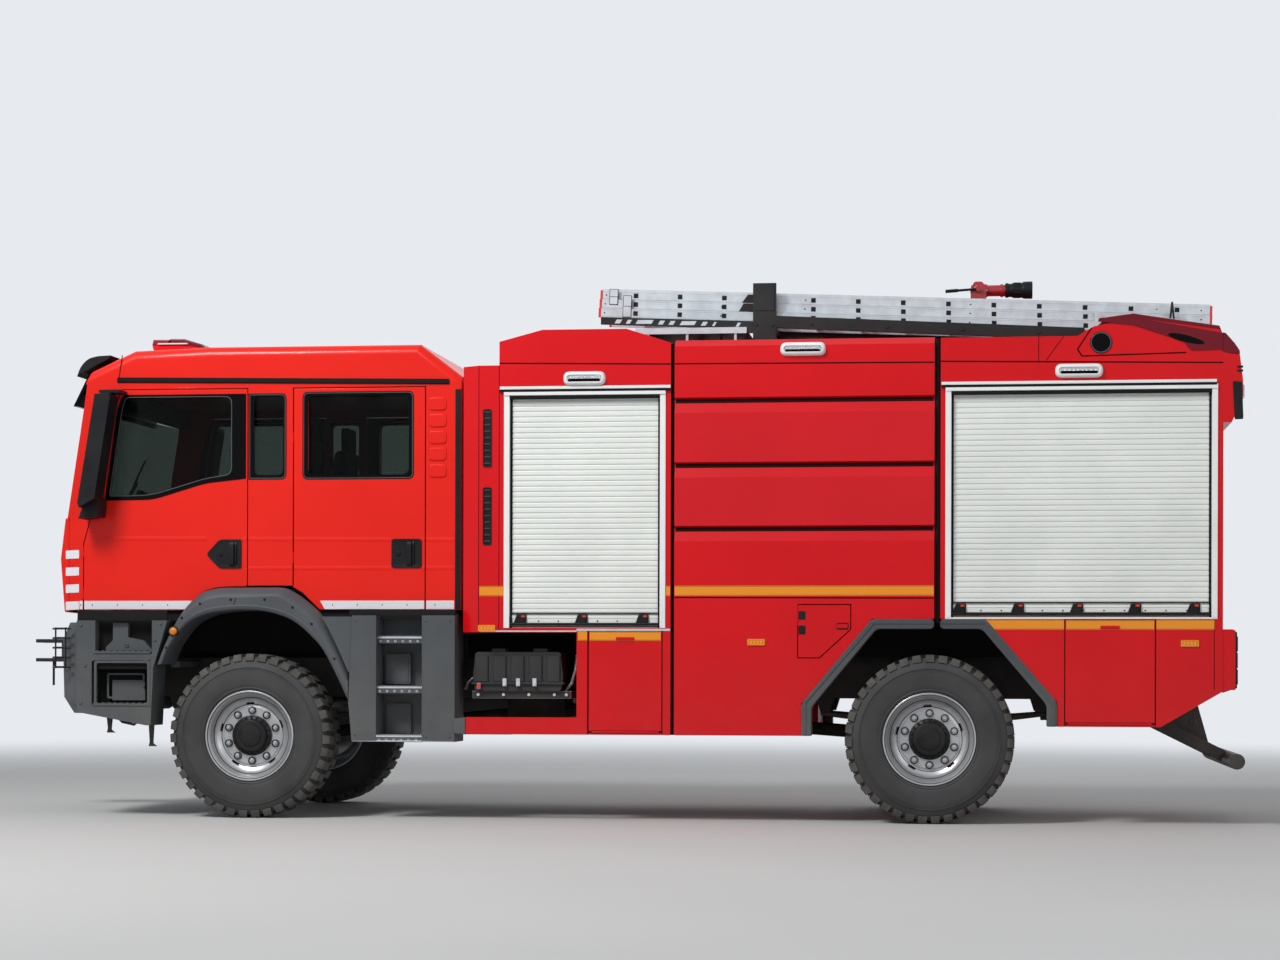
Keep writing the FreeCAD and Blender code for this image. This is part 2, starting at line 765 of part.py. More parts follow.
def front_glass_outline(inset):
    return [(at(-1007) + inset, 2138 + as_size(inset)), (at(-700), 2143 + as_size(inset)),
            (at(-326), 2250 + as_size(inset)), (at(-126) - inset, 2283 + as_size(inset)),
            (at(-126) - inset, 2828 - as_size(inset)), (at(-893) + inset, 2828 - as_size(inset)),
            (at(-920) + inset, 2740)]


def rear_door_outline():
    low = s.cab_bottom
    front = at(s.rear_door_front)
    back = at(s.rear_door_back)
    return [(front, s.arch_top + 6), (at(300), s.arch_top - 6), (at(455), low), (back, low), (back, s.door_top),
            (front, s.door_top)]


def door_pair(name, outline, window, pane, extras):
    outer = -s.cab_half
    panel = prism(name + "_panel", "side", [outline, window], outer, outer + s.cab_wall)
    middle = outer + s.cab_wall / 2
    glass = prism(name + "_pane", "side", [pane], middle, middle + s.pane)
    left = fuse(name + "_left", [panel] + extras) if extras else panel
    return left, mirrored(name + "_right", left), glass, mirrored(name + "_pane_right", glass)


def mirror_arm():
    outer = -s.cab_half
    housing = prism("mirror_housing", "side",
                    [[(at(-1128), 2090), (at(-1118), 2060), (at(-1010), 2120), (at(-905), 2790), (at(-915), 2815),
                      (at(-1010), 2815)]], outer - 270, outer - 90)
    off = outer - s.clearance
    upper = box("mirror_upper_arm", (at(-1010), at(-870)), (outer - 180, off), (2828, 2850))
    upper_pad = box("mirror_upper_pad", (at(-900), at(-870)), (off - 5, outer), (2828, 2850))
    upper_drop = box("mirror_upper_drop", (at(-1000), at(-930)), (outer - 180, outer - 100), (2800, 2850))
    lower = prism("mirror_lower_arm", "side",
                  [[(at(-1150), 1990), (at(-1020), 2005), (at(-1010), 2068), (at(-1010), 2130), (at(-1090), 2085),
                    (at(-1120), 2078)]], outer - 180, off)
    lower_pad = box("mirror_lower_pad", (at(-1095), at(-1030)), (off - 5, outer), (2010, 2060))
    return [housing, upper, upper_pad, upper_drop, lower, lower_pad]


# Dashboard with the steering wheel on its column, on the left
def dashboard():
    inner = s.cab_half - s.cab_wall - s.seat
    back = at(s.cab_front + 50) + s.seat
    desk = prism("dash_desk", "side",
                 [[(back, 1800), (at(-1000), 1800), (at(-940), 1900), (at(-960), 2040), (back, 2000)]],
                 -inner, inner)
    column = strut("steering_column", (at(-980), -560, 1850), (at(-800), -560, 2080), 30)
    ring = cut("steering_ring", bar("steering_rim", "z", (0, 0, -12), 220, 24, 16),
               [bar("steering_gap", "z", (0, 0, -15), 194, 30, 16)])
    ring.Placement.Rotation = FreeCAD.Rotation(FreeCAD.Vector(0, 1, 0), 38)
    move(ring, at(-795), -560, 2086)
    spoke = box("steering_spoke", (at(-818), at(-772)), (-560 - 200, -560 + 200), (2076, 2096))
    return fuse("dashboard_form", [desk, column, ring, spoke])


# Two front seats and a rear bench for the crew
def seats():
    deck = s.arch_top + 24 + 40
    pieces = []
    for i, y in enumerate((-560, 560)):
        pieces.append(box(f"seat_base{i}", (at(-300), at(120)), (y - 180, y + 180), (deck, deck + 140)))
        pieces.append(box(f"seat_cushion{i}", (at(-400), at(160)), (y - 250, y + 250), (deck + 140, deck + 260)))
        pieces.append(prism(f"seat_back{i}", "side",
                            [[(at(60), deck + 250), (at(180), deck + 250), (at(300), deck + 960),
                              (at(200), deck + 960)]], y - 240, y + 240))
        pieces.append(box(f"head_rest{i}", (at(215), at(295)), (y - 130, y + 130), (deck + 950, deck + 1130)))
    low = s.cab_bottom + 45
    wall = at(s.cab_back - s.cab_wall)
    pieces.append(box("bench_base", (at(820), wall - 20), (-950, 950), (low, low + 380)))
    pieces.append(box("bench_cushion", (at(780), wall - 20), (-1000, 1000), (low + 380, low + 480)))
    pieces.append(box("bench_back", (wall - 130, wall - s.seat), (-1000, 1000), (low + 470, low + 1050)))
    for i, y in enumerate((-680, 0, 680)):
        pieces.append(box(f"bench_rest{i}", (wall - 120, wall - 20), (y - 130, y + 130), (low + 1040, low + 1230)))
    return fuse("seats_form", pieces)


# Visor over the windscreen and the blue-light base on the roof
def sun_visor():
    return prism("sun_visor_form", "side",
                 [[(at(-1330), 2780), (at(-1215), 3010), (at(-1085), 3060), (at(-1085), 3016), (at(-1200), 2985),
                   (at(-1300), 2780)]], -880, 880)


def light_bar():
    rise = s.roof_top - s.roof_front_top
    foot = prism("light_foot", "side",
                 [[(at(-800), s.roof_front_top + rise * (30 / 530) + s.seat),
                   (at(-600), s.roof_front_top + rise * (230 / 530) + s.seat), (at(-600), 3205), (at(-800), 3205)]],
                 -700, 700)
    lens = prism("light_lens", "side",
                 [[(at(-830), 3205), (at(-560), 3205), (at(-430), 3178), (at(-470), 3215), (at(-600), 3258),
                   (at(-820), 3262)]], -740, 740)
    return fuse("light_bar_form", [foot, lens])


# Tunnel over the frame, cut from every body module
def tunnel(name, start, stop):
    return box(name, (start - 5, stop + 5), (-s.tunnel_half, s.tunnel_half), (0, s.tunnel_top))


# Shallow recess for a shutter on the left side, and its mirror
def shutter_recess(name, start, stop, low, high):
    side = -s.body_half
    left = box(name, (start, stop), (side - 5, side + s.shutter_recess), (low, high))
    return [left, mirrored(name + "_right", left)]


# Space behind a flap: the flap's own seat, a lip for its hinge and the compartment
def flap_space(name, start, stop, low, high):
    side = -s.body_half
    gap = s.clearance
    lip = low + s.hinge_lip
    seat = box(name + "_seat", (start - gap, stop + gap), (side - 5, side + s.flap_wall + gap), (lip, high + gap))
    step = box(name + "_step", (start - gap, stop + gap), (side - 5, side + 10), (low - 5, lip + 5))
    room = box(name + "_room", (start + 30, stop - 30), (side, side + 560), (lip + 30, high - 30))
    left = fuse(name + "_space", [seat, step, room])
    return [left, mirrored(name + "_space_right", left)]


def flap_hinge(name, start, stop, low):
    side = -s.body_half
    z = low + s.hinge_lip + s.hinge_radius - 2
    return rod(name, "x", (start, side + 10, z), s.hinge_radius, stop - start)


def flap_pair(name, start, stop, low, high):
    side = -s.body_half
    foot = low + s.hinge_lip + 2 * s.hinge_radius - 2 + s.seat
    plate = box(name + "_plate", (start, stop), (side, side + s.flap_wall), (foot, high))
    grip = box(name + "_grip", ((start + stop) / 2 - 60, (start + stop) / 2 + 60), (side - 8, side + 2),
               (high - 60, high - 40))
    left = fuse(name + "_left", [plate, grip])
    return left, mirrored(name + "_right", left)


front_flap = (at(2286), locker_end - 57, s.body_bottom, as_size(1243))
rear_flap = (at(5364), at(5930), as_size(640), as_size(1318))
front_shutter = (body_start + 284, locker_end - 33, as_size(1262), as_size(2816))
rear_shutter = (rear_start + 31, rear_end - 34, s.rear_arch_top + 8, as_size(2816))


def locker_front():
    x0 = body_start
    x1 = locker_end
    half = s.body_half
    low = s.body_bottom
    step_x = at(2206)
    body = prism("locker_front_body", "side",
                 [[(x0, 1235), (step_x, 1235), (step_x, low), (x1, low), (x1, 3120), (x1 - 293, 3215), (at(1975), 3215),
                   (at(1690), 3140), (at(1690), 2985), (x0, 2985)]], -half, half)
    corner = prism("locker_front_corner", "plan",
                   [[(x0 - 5, -half - 5), (at(1552), -half - 5), (at(1552), -half), (x0, -half + 75), (x0 - 5, -half + 75)]],
                   1000, 3000)
    start, stop, base, head = front_flap
    tools = [tunnel("locker_front_tunnel", x0, x1), corner, mirrored("locker_front_corner_right", corner)]
    tools += shutter_recess("front_recess", *front_shutter)
    tools += flap_space("front_flap", start, stop, base, head)
    body = cut("locker_front_cut", body, tools)
    # Low side bars ahead of the flap, and a sill step in front of the battery box
    skirt = box("side_bar", (at(1470), step_x), (-half, -half + 70), (low, low + 112))
    hinge = flap_hinge("front_flap_hinge", start + 20, stop - 20, base)
    return fuse("locker_front_form", [body, skirt, mirrored("side_bar_right", skirt), hinge,
                                 mirrored("front_flap_hinge_right", hinge)])


# Tank between the lockers, its sides pressed in three sloping bands
def tank_body():
    half = s.body_half
    low = s.body_bottom
    fold = half - s.band_depth
    right = [(half - 60, s.body_top), (half, s.body_top - 45)]
    for line in (2762, 2341, 1927):
        right += [(half, line), (fold, line - 9), (half, line - 100)]
    right += [(half, low)]
    outline = right + [(-as_size(y), z) for y, z in reversed(right)]
    body = prism("tank_section", "cross", [outline], tank_start, tank_end)
    arch = prism("tank_arch", "side",
                 [[(at(3677), low - 50), (at(3677), 775), (at(4130), s.rear_arch_top), (tank_end + 5, s.rear_arch_top), (tank_end + 5, low - 50)]],
                 -half - 5, half + 5)
    shape = hatch_outline(-s.clearance)
    pocket = prism("hatch_pocket", "side", [shape], -half - 5, -half + 260)
    tank = cut("tank_cut", body, [tunnel("tank_tunnel", tank_start, tank_end), arch, pocket])
    barrels = [hinge_barrel(f"hatch_hinge{i}", at(3655), -half, z) for i, z in enumerate((1280, 1345))]
    return fuse("tank_body_form", [tank] + barrels)


def hatch_outline(inset):
    inset = as_size(inset)
    return [(at(3655) + inset, 1412 - inset), (at(3655) + inset, 1072 + inset), (at(3792) - inset / 2, 1072 + inset),
            (at(3992) - inset, 1255 + inset / 2), (at(3992) - inset, 1412 - inset)]


def tank_hatch():
    half = s.body_half
    plate = prism("hatch_plate", "side", [hatch_outline(0)], -half, -half + 25)
    latch = box("hatch_latch", (at(3905), at(3975)), (-half - 8, -half + 1), (1262, 1288))
    return fuse("tank_hatch_form", [plate, latch])


def locker_rear():
    half = s.body_half
    low = s.rear_bottom
    body = prism("locker_rear_body", "side",
                 [[(rear_start, s.rear_arch_top), (at(4858), s.rear_arch_top), (at(5313), 792), (at(5313), low), (at(5965), low),
                   (rear_end, 860), (rear_end, rear_top), (rear_start, rear_top)]], -half, half)
    hood = prism("rear_hood", "side",
                 [[(rear_end - 10, s.body_top - 120), (rear_end, s.body_top - 120), (hood_end - 20, 3000),
                   (hood_end, 2840), (hood_end, 2720), (hood_end - 70, 2570), (rear_end - 10, 2570)]], -half, half)
    raised = prism("rear_crest", "side",
                   [[(rear_end - 934, s.body_top - 20), (rear_end - 814, 3190), (rear_end - 554, 3240),
                     (rear_end - 24, 3160), (rear_end, s.body_top - 20)]], -half, -half + 330)
    start, stop, base, head = rear_flap
    tools = [tunnel("locker_rear_tunnel", rear_start, rear_end)]
    tools += shutter_recess("rear_recess", *rear_shutter)
    tools += flap_space("rear_flap", start, stop, low, head)
    # Doorway in the back for the pump bay shutter
    tools.append(box("back_recess", (rear_end - s.shutter_recess, rear_end + 5), (-s.pump_door_half, s.pump_door_half),
                     (s.pump_door_low, s.pump_door_top)))
    body = cut("locker_rear_cut", fuse("locker_rear_solid", [body, hood, raised, mirrored("rear_crest_right", raised)]),
               tools)
    lamp_box = box("lamp_box", (rear_end - 10, rear_end + 80), (-half + 12, -half + 240), (870, 1250))
    hinge = flap_hinge("rear_flap_hinge", start + 20, stop - 20, low)
    return fuse("locker_rear_form", [body, lamp_box, mirrored("lamp_box_right", lamp_box), hinge,
                                mirrored("rear_flap_hinge_right", hinge)])


# Roller shutter curtain: a sheet with ridged slats and a bottom bar, on the left side
def curtain(name, start, stop, low, high):
    face = -s.body_half + s.shutter_recess
    fit = s.seat
    body = doc.addObject("PartDesign::Body", name)
    sheet_outline = rectangle((face - s.shutter_wall, face - fit), (low + fit, high - fit))
    sketch = sketch_on(body, name + "_sheet", PLANES["cross"], start + fit, [sheet_outline])
    pad = body.newObject("PartDesign::Pad", name + "_pad")
    pad.Profile = sketch
    bind(pad, "Length", stop - start - 2 * fit)
    front = face - s.shutter_wall
    slat_low = low + 95
    slat = [(front + 1, slat_low), (front, slat_low), (front - 5, slat_low + 6), (front - 5, slat_low + s.shutter_pitch - 6),
            (front, slat_low + s.shutter_pitch), (front + 1, slat_low + s.shutter_pitch)]
    ridge_sketch = sketch_on(body, name + "_slat", PLANES["cross"], start + 6, [slat])
    ridge = body.newObject("PartDesign::Pad", name + "_ridge")
    ridge.Profile = ridge_sketch
    bind(ridge, "Length", stop - start - 12)
    body.Tip = ridge
    pattern = body.newObject("PartDesign::LinearPattern", name + "_slats")
    pattern.Originals = [ridge]
    pattern.Direction = (plane_of(body, "Z_Axis"), [""])
    count = math.floor((high.value - slat_low.value - 10) / s.shutter_pitch.value)
    bind(pattern, "Length", s.shutter_pitch * (count - 1))
    pattern.Occurrences = count
    body.Tip = pattern
    foot = box(name + "_bar", (start + 6, stop - 6), (front - 12, front + 1), (low + 2, low + 84))
    return fuse(name + "_closed", [body, foot])


rail_width = as_size(38)
rail_head = as_size(52)


def shutter_span(opening):
    start, stop, low, high = opening
    return start + rail_width, stop - rail_width, low, high - rail_head


def shutters():
    front = curtain("front_curtain", *shutter_span(front_shutter))
    rear = curtain("rear_curtain", *shutter_span(rear_shutter))
    back = box("back_curtain", (rear_end - s.shutter_recess + s.seat, rear_end - s.shutter_recess + 20),
               (rail_width + 2 - s.pump_door_half, s.pump_door_half - rail_width - 2),
               (s.pump_door_low + s.seat, s.pump_door_top - 40))
    return together("shutters_form", [front, mirrored("front_curtain_right", front), rear,
                                 mirrored("rear_curtain_right", rear), back])


# Guide rails beside each shutter and the double rail above it
def rail_frame(name, opening):
    start, stop, low, high = opening
    face = -s.body_half
    fit = s.seat
    back = face + s.shutter_recess - fit
    return fuse(name, [box(name + "_fore", (start + fit, start + rail_width - fit), (face - 8, back), (low + fit, high - fit)),
                       box(name + "_aft", (stop - rail_width + fit, stop - fit), (face - 8, back), (low + fit, high - fit)),
                       box(name + "_head", (start + fit, stop - fit), (face - 8, back), (high - rail_head + fit, high - fit)),
                       box(name + "_drip", (start + fit, stop - fit), (face - 16, face - 4),
                           (high - rail_head + 22, high - fit))])


def shutter_rails():
    front = rail_frame("front_rail", front_shutter)
    rear = rail_frame("rear_rail", rear_shutter)
    x = rear_end - s.shutter_recess + s.seat
    half = s.pump_door_half
    low = s.pump_door_low + s.seat
    high = s.pump_door_top - s.seat
    back = [box("back_rail_near", (x, rear_end + 6), (s.seat - half, rail_width - half), (low, high)),
            box("back_rail_far", (x, rear_end + 6), (half - rail_width, half - s.seat), (low, high)),
            box("back_rail_head", (x, rear_end + 6), (s.seat - half, half - s.seat), (s.pump_door_top - rail_width, high))]
    return together("shutter_rails_form", [front, mirrored("front_rail_right", front), rear,
                                      mirrored("rear_rail_right", rear), fuse("back_rails", back)])


# Grey trims under the rear wheel arch, split where the modules meet
def arch_trims():
    side = -s.body_half
    wide = s.trim_width
    fit = s.seat
    low = s.body_bottom
    fore = prism("arch_trim_fore", "side",
                 [[(at(3677) + fit, low), (at(3677) + fit, 775), (at(4130), s.rear_arch_top - fit), (tank_end, s.rear_arch_top - fit),
                   (tank_end, s.rear_arch_top - wide), (at(4130) + wide * 0.45, s.rear_arch_top - wide), (at(3677) + wide, 775 - wide * 0.35),
                   (at(3677) + wide, low)]], side - 12, side + 110)
    aft = prism("arch_trim_aft", "side",
                [[(rear_start, s.rear_arch_top - fit), (at(4858), s.rear_arch_top - fit), (at(5313) - fit, 792), (at(5313) - fit, s.rear_bottom),
                  (at(5313) - wide, s.rear_bottom), (at(5313) - wide, 792 - wide * 0.35), (at(4858) - wide * 0.35, s.rear_arch_top - wide),
                  (rear_start, s.rear_arch_top - wide)]], side - 12, side + 110)
    return together("arch_trims_form", [fore, mirrored("arch_trim_fore_right", fore), aft,
                                   mirrored("arch_trim_aft_right", aft)])


# White scene lamps, amber markers, corner beacons and rear lamps
def body_lamps():
    side = -s.body_half
    lamps = []
    for i, (x0, x1, z0, z1) in enumerate(((2115, 2395, 2840, 2935), (3535, 3830, 3035, 3105), (5290, 5605, 2860, 2955))):
        lamps.append(box(f"scene_lamp{i}", (at(x0), at(x1)), (side - 32, side - s.seat), (z0, z1)))
    for i, (x0, z0) in enumerate(((at(1552), 1240), (at(3325), 1150), (rear_end - 264, 1145))):
        lamps.append(box(f"marker{i}", (x0, x0 + 115), (side - 8, side - s.seat), (z0, z0 + 42)))
    beacon = prism("beacon", "side",
                   [[(rear_end - 794, 3193.9 + s.seat), (rear_end - 734, 3250), (rear_end - 554, 3270),
                     (rear_end - 24, 3185), (rear_end - 24, 3160 + s.seat), (rear_end - 554, 3240 + s.seat)]], side + 20, side + 310)
    rear_lamp = box("rear_lamp", (rear_end + 80 + s.seat, rear_end + 95), (side + 30, side + 220), (900, 1220))
    angled = box("back_lamp", (hood_end + s.seat, hood_end + 22), (side + 120, side + 420), (2730, 2830))
    lamps += [rear_lamp, angled]
    left = together("lamps_left", lamps)
    return pair("body_lamps_form", left)


# Roof walkway, ladder rack and the cannon's stand
def walkway():
    deck = box("walkway_deck", (tank_start - 287, tank_start + 443), (-1000, -200), (3222, 3236))
    feet = []
    for i, x in enumerate((tank_start + 53, tank_start + 373)):
        for j, y in enumerate((-980, -260)):
            feet.append(box(f"walkway_foot{i}{j}", (x, x + 40), (y, y + 40), (s.body_top, 3224)))
    return fuse("walkway_form", [deck] + feet)


ladder_fore = at(2265)
ladder_low = as_size(3372)
ladder_near = as_size(-645)
ladder_fall = math.tan(math.radians(s.ladder_slope.value))


# Height of the ladder's underside at a place along the vehicle
def ladder_under(x):
    return ladder_low - ladder_fall * (x - ladder_fore)


def ladder_rack():
    pieces = []
    top = s.body_top
    near = ladder_near - 12
    far = ladder_near + s.ladder_width + 12
    for tag, y in (("near", near - 45), ("far", far)):
        pieces.append(prism(f"rack_beam_{tag}", "side",
                            [[(at(3310), 3285), (at(3310), 3365), (at(5500), 3250), (at(5500), 3170)]], y, y + 45))
        pieces.append(box(f"rack_post_{tag}", (at(3310), at(3465)), (y, y + 33), (3200, 3576)))
        pieces.append(box(f"rack_foot_{tag}", (at(3330), at(3445)), (y, y + 45), (top, 3320)))
        pieces.append(box(f"rack_tail_{tag}", (at(5300), at(5460)), (y, y + 45), (rear_top, 3220)))
    for i, x in enumerate((at(3380), at(5350))):
        under = ladder_under(x + 60) - s.seat
        pieces.append(box(f"rack_bar{i}", (x, x + 60), (near - 5, far + 5), (under - 40, under)))
    return fuse("ladder_rack_form", pieces)


# Three nested ladder sections with square rungs, held together by end caps
def ladder():
    pieces = []
    length = s.ladder_length
    pitch = s.stringer_height + 3
    first = 160
    step = 40
    rungs = math.floor((length.value - 2 * first + 20) / s.rung_pitch.value) + 1
    for k in range(3):
        z = k * pitch
        inset = as_size(k * 26)
        for j, y in enumerate((inset, s.ladder_width - 24 - inset)):
            pieces.append(box(f"stringer{k}{j}", (0, length), (y, y + 24), (z, z + s.stringer_height)))
        for n in range(rungs):
            x = first + n * s.rung_pitch + step * k
            pieces.append(box(f"rung{k}_{n}", (x, x + 28), (inset + 20, s.ladder_width - inset - 20),
                              (z + 16, z + 44)))
    top = pitch * 2 + s.stringer_height
    for i, x in enumerate((as_size(-14), length - 1)):
        for j, y in enumerate((as_size(-2), s.ladder_width - 82)):
            pieces.append(box(f"ladder_cap{i}{j}", (x, x + 15), (y, y + 84), (0, top)))
    joined = fuse("ladder_form", pieces)
    joined.Placement.Rotation = FreeCAD.Rotation(FreeCAD.Vector(0, 1, 0), s.ladder_slope.value)
    move(joined, ladder_fore, ladder_near, ladder_low)
    return joined


def monitor():
    x = rear_start + s.monitor_x
    y = s.monitor_y
    foot = s.body_top
    seat = rear_top + s.seat
    base = fuse("monitor_base_form", [bar("monitor_flange", "z", (x, y, seat), 130, 24),
                                      rod("monitor_pipe", "z", (x, y, seat), 55, foot + 330 - seat)])
    head = fuse("monitor_head_form", [bar("monitor_collar", "z", (x, y, foot + 330 + s.seat), 75, 60),
                                 bar("monitor_neck", "z", (x, y, foot + 380), 50, 60),
                                 box("monitor_yoke_near", (x - 55, x + 55), (y - 90, y - 66), (foot + 400, foot + 560)),
                                 box("monitor_yoke_far", (x - 55, x + 55), (y + 66, y + 90), (foot + 400, foot + 560)),
                                 box("monitor_yoke_low", (x - 55, x + 55), (y - 90, y + 90), (foot + 400, foot + 424))])
    z = foot + s.monitor_rise
    hub_body = bar("cannon_hub", "y", (x, y - 60, z), 55, 120)
    pin = rod("cannon_pin", "y", (x, y - 124, z), 18, 224)
    tube = bar("cannon_tube", "x", (x, y, z), 42, 190)
    nozzle = bar("cannon_nozzle", "x", (x + 185, y, z), 52, 130)
    mouth = bar("cannon_mouth", "x", (x + 300, y, z), 62, 75)
    tiller = strut("cannon_tiller", (x + 10, y - 106, z), (x - 230, y - 106, z - 15), 12)
    barrel = fuse("monitor_barrel_form", [hub_body, pin, tube, nozzle, mouth, tiller])
    bored = cut("monitor_head_bored", head, [rod("cannon_bore", "y", (x, y - 120, z), 18 + s.seat, 240)])
    return base, bored, barrel


# Bumper with step boxes, fenders, crew steps and the parts below the cab
bumper_half = s.cab_half + s.bumper_overhang
lamp_ys = (-bumper_half + 150, -bumper_half + 480)
lamp_zs = (as_size(900), as_size(1110))


def front_bumper():
    half = bumper_half

    def plan(x, back):
        return [(at(back), -half), (at(x + 90), -half), (at(x + 15), -half + 60), (at(x - 30), -half * 0.6),
                (at(x - 40), 0), (at(x - 30), half * 0.6), (at(x + 15), half - 60), (at(x + 90), half), (at(back), half)]

    beam = plan_loft("bumper_beam", [(692, plan(-1240, -1120)), (800, plan(-1310, -1120)),
                                     (1180, plan(-1320, -1120)), (1300, plan(-1270, -1120))])
    lamp_space = box("lamp_space", (at(-1400), at(-1210)), lamp_ys, lamp_zs)
    tools = [box("bumper_opening", (at(-1400), at(-1000)), (-300, 300), (1000, 1350)),
             box("bumper_hollow", (at(s.rail_front) - s.seat, at(-1000)), (-600, 600), (640, 1350)),
             box("bumper_wings", (at(-1235), at(-1000)), (-half + 60, half - 60), (640, 1350)),
             lamp_space, mirrored("lamp_space_right", lamp_space)]
    beam = cut("bumper_cut", beam, tools)
    side = prism("step_box", "side",
                 [[(at(-1180), 700), (at(-700), 612), (at(-668), 612), (at(-650), 1000), (at(-555), 1312), (at(-1180), 1312)]],
                 -half - 30, -half + 250)
    steps = [box("step_notch0", (at(-1075), at(-690)), (-half - 40, -half + 110), (745, 1040)),
             box("step_notch1", (at(-1050), at(-660)), (-half - 40, -half + 60), (1090, 1330))]
    side = cut("step_box_cut", side, steps)
    return fuse("front_bumper_form", [beam, side, mirrored("step_box_right", side)])


def front_lamps():
    fit = s.seat
    unit = box("head_lamp", (at(-1270), at(-1210)), (lamp_ys[0] + fit, lamp_ys[1] - fit),
               (lamp_zs[0] + fit, lamp_zs[1] - fit))
    return pair("front_lamps_form", unit)


ARCH_INNER = [(676, 785), (488, 1160), (251, 1340), (13, 1380), (-226, 1362), (-431, 1297), (-590, 1020)]


def arch_inner_points():
    return [(at(x), as_size(z)) for x, z in ARCH_INNER]


# True on the fender's upper edge, outside the arch
def above_arch(point):
    return point.z > 1100 and math.hypot(point.x - axle.value, (point.z - hub.value) * 0.93) > 850


def fender_side():
    outer = -s.body_half + 10
    skin = -s.cab_half - 2
    inside = -s.cab_half + 190
    big = [(at(-640), 1020), (at(-505), 1322), (at(-330), s.arch_top - 22), (at(-89), s.arch_top - 8),
           (at(252), s.arch_top - 8), (at(489), 1345), (at(676), 960)] + arch_inner_points()
    flare = chamfered(prism("fender_flare", "side", [big], outer, skin), 70,
                      lambda edge: abs(edge.CenterOfMass.y - outer.value) < 1 and above_arch(edge.CenterOfMass))
    band = [(at(x), as_size(z)) for x, z in ARCH_INNER]
    lift = [(at(x) * 1, as_size(z) + 28) for x, z in ((-590, 1020), (-440, 1297), (-230, 1362), (13, 1380),
                                                     (258, 1340), (500, 1160), (676, 800))]
    liner = prism("fender_liner", "side", [band + lift], skin - 2, inside)
    return fuse("fender_side", [flare, liner])


def crew_step_side():
    outer = -s.body_half + 14
    skin = -s.cab_half + 190
    block = prism("crew_step_block", "side",
                  [[(at(700) + s.seat, 1345), (at(676) + s.seat, 785), (at(700), 512), (at(1394), 512), (at(1394), 1345)]],
                  outer, skin)
    space = box("crew_step_space", (at(866), at(1172)), (outer - 5, outer + 235), (520, 1350))
    treads = []
    for i, z in enumerate((520, 842, 1172)):
        treads.append(box(f"tread{i}", (at(864), at(1174)), (outer + 8 + 24 * i, outer + 240), (z - 8, z + 28)))
    return fuse("crew_step_side", [cut("crew_step_cut", block, [space])] + treads)


def crew_steps():
    side = crew_step_side()
    bracket = box("crew_bracket", (at(1210), at(1290)), (-s.cab_half + 185, -s.rail_outer_y), (900, 960))
    left = fuse("crew_steps_left", [side, bracket])
    return pair("crew_steps_form", left)


def front_fenders():
    side = fender_side()
    bracket = box("fender_bracket", (at(-620), at(-560)), (-s.cab_half + 185, -s.rail_outer_y), (1000, 1040))
    left = fuse("front_fender_left", [side, bracket])
    return pair("front_fenders_form", left)


def battery_box():
    half = s.body_half
    tray = box("battery_tray", (at(1500), at(2150)), (-half + 130, -s.rail_outer_y), (800, 850))
    lid = prism("battery_lid", "side",
                [[(at(1500), 850), (at(2130), 850), (at(2145), 950), (at(2130), 1110), (at(1505), 1110), (at(1485), 950)]],
                -half + 110, -half + 520)
    return fuse("battery_box_form", [tray, lid])


def fuel_tank():
    half = s.body_half
    tank = prism("fuel_barrel", "cross",
                 [[(half - 600, 700), (half - 560, 660), (half - 170, 660), (half - 130, 700), (half - 130, 1080),
                   (half - 170, 1120), (half - 560, 1120), (half - 600, 1080)]], at(1500), at(2150))
    strap = box("fuel_strap", (at(1800), at(1860)), (s.rail_outer_y, half - 590), (850, 950))
    return fuse("fuel_tank_form", [tank, strap])


def underrun_guard():
    tube_x = rear_axle + s.rear_reach - s.guard_radius
    rail = -s.rail_outer_y
    tube = bar("guard_tube", "y", (tube_x, -1150, 412), s.guard_radius, 2300, 16)
    arm = prism("guard_arm", "side",
                [[(at(5950), 620), (at(5985), 690), (tube_x + 10, 450), (tube_x - 10, 375)]], rail - 64, rail - 12)
    hanger = prism("guard_hanger", "side",
                   [[(at(6000), 1000), (at(6190), 1000), (at(6330), 500), (at(6250), 480), (at(6060), 700)]],
                   rail - 16, rail - s.seat)
    return fuse("underrun_guard_form", [tube, arm, hanger, mirrored("guard_arm_right", arm),
                                        mirrored("guard_hanger_right", hanger)])


# Nodes, each with its own label
node("chassis_frame", chassis_frame())
node("powertrain", powertrain())
node("front_axle", front_axle())
node("rear_axle", rear_axle_housing())
node("leaf_springs", leaf_springs())
node("knuckle_left", knuckle("knuckle_form_left", -1))
node("knuckle_right", knuckle("knuckle_form_right", 1))

wheel = wheel_master()
tyre = tyre_master()
for end, centre in (("front", axle), ("rear", rear_axle)):
    for flank, side in (("left", -1), ("right", 1)):
        for kind, form in (("wheel", wheel), ("tyre", tyre)):
            placed = together(f"{kind}_{end}_{flank}_placed", [form])
            if side < 0:
                turn(placed, (0, 0, 1), 180)
            move(placed, centre, side * s.track_half, hub)
            node(f"{kind}_{end}_{flank}", placed)

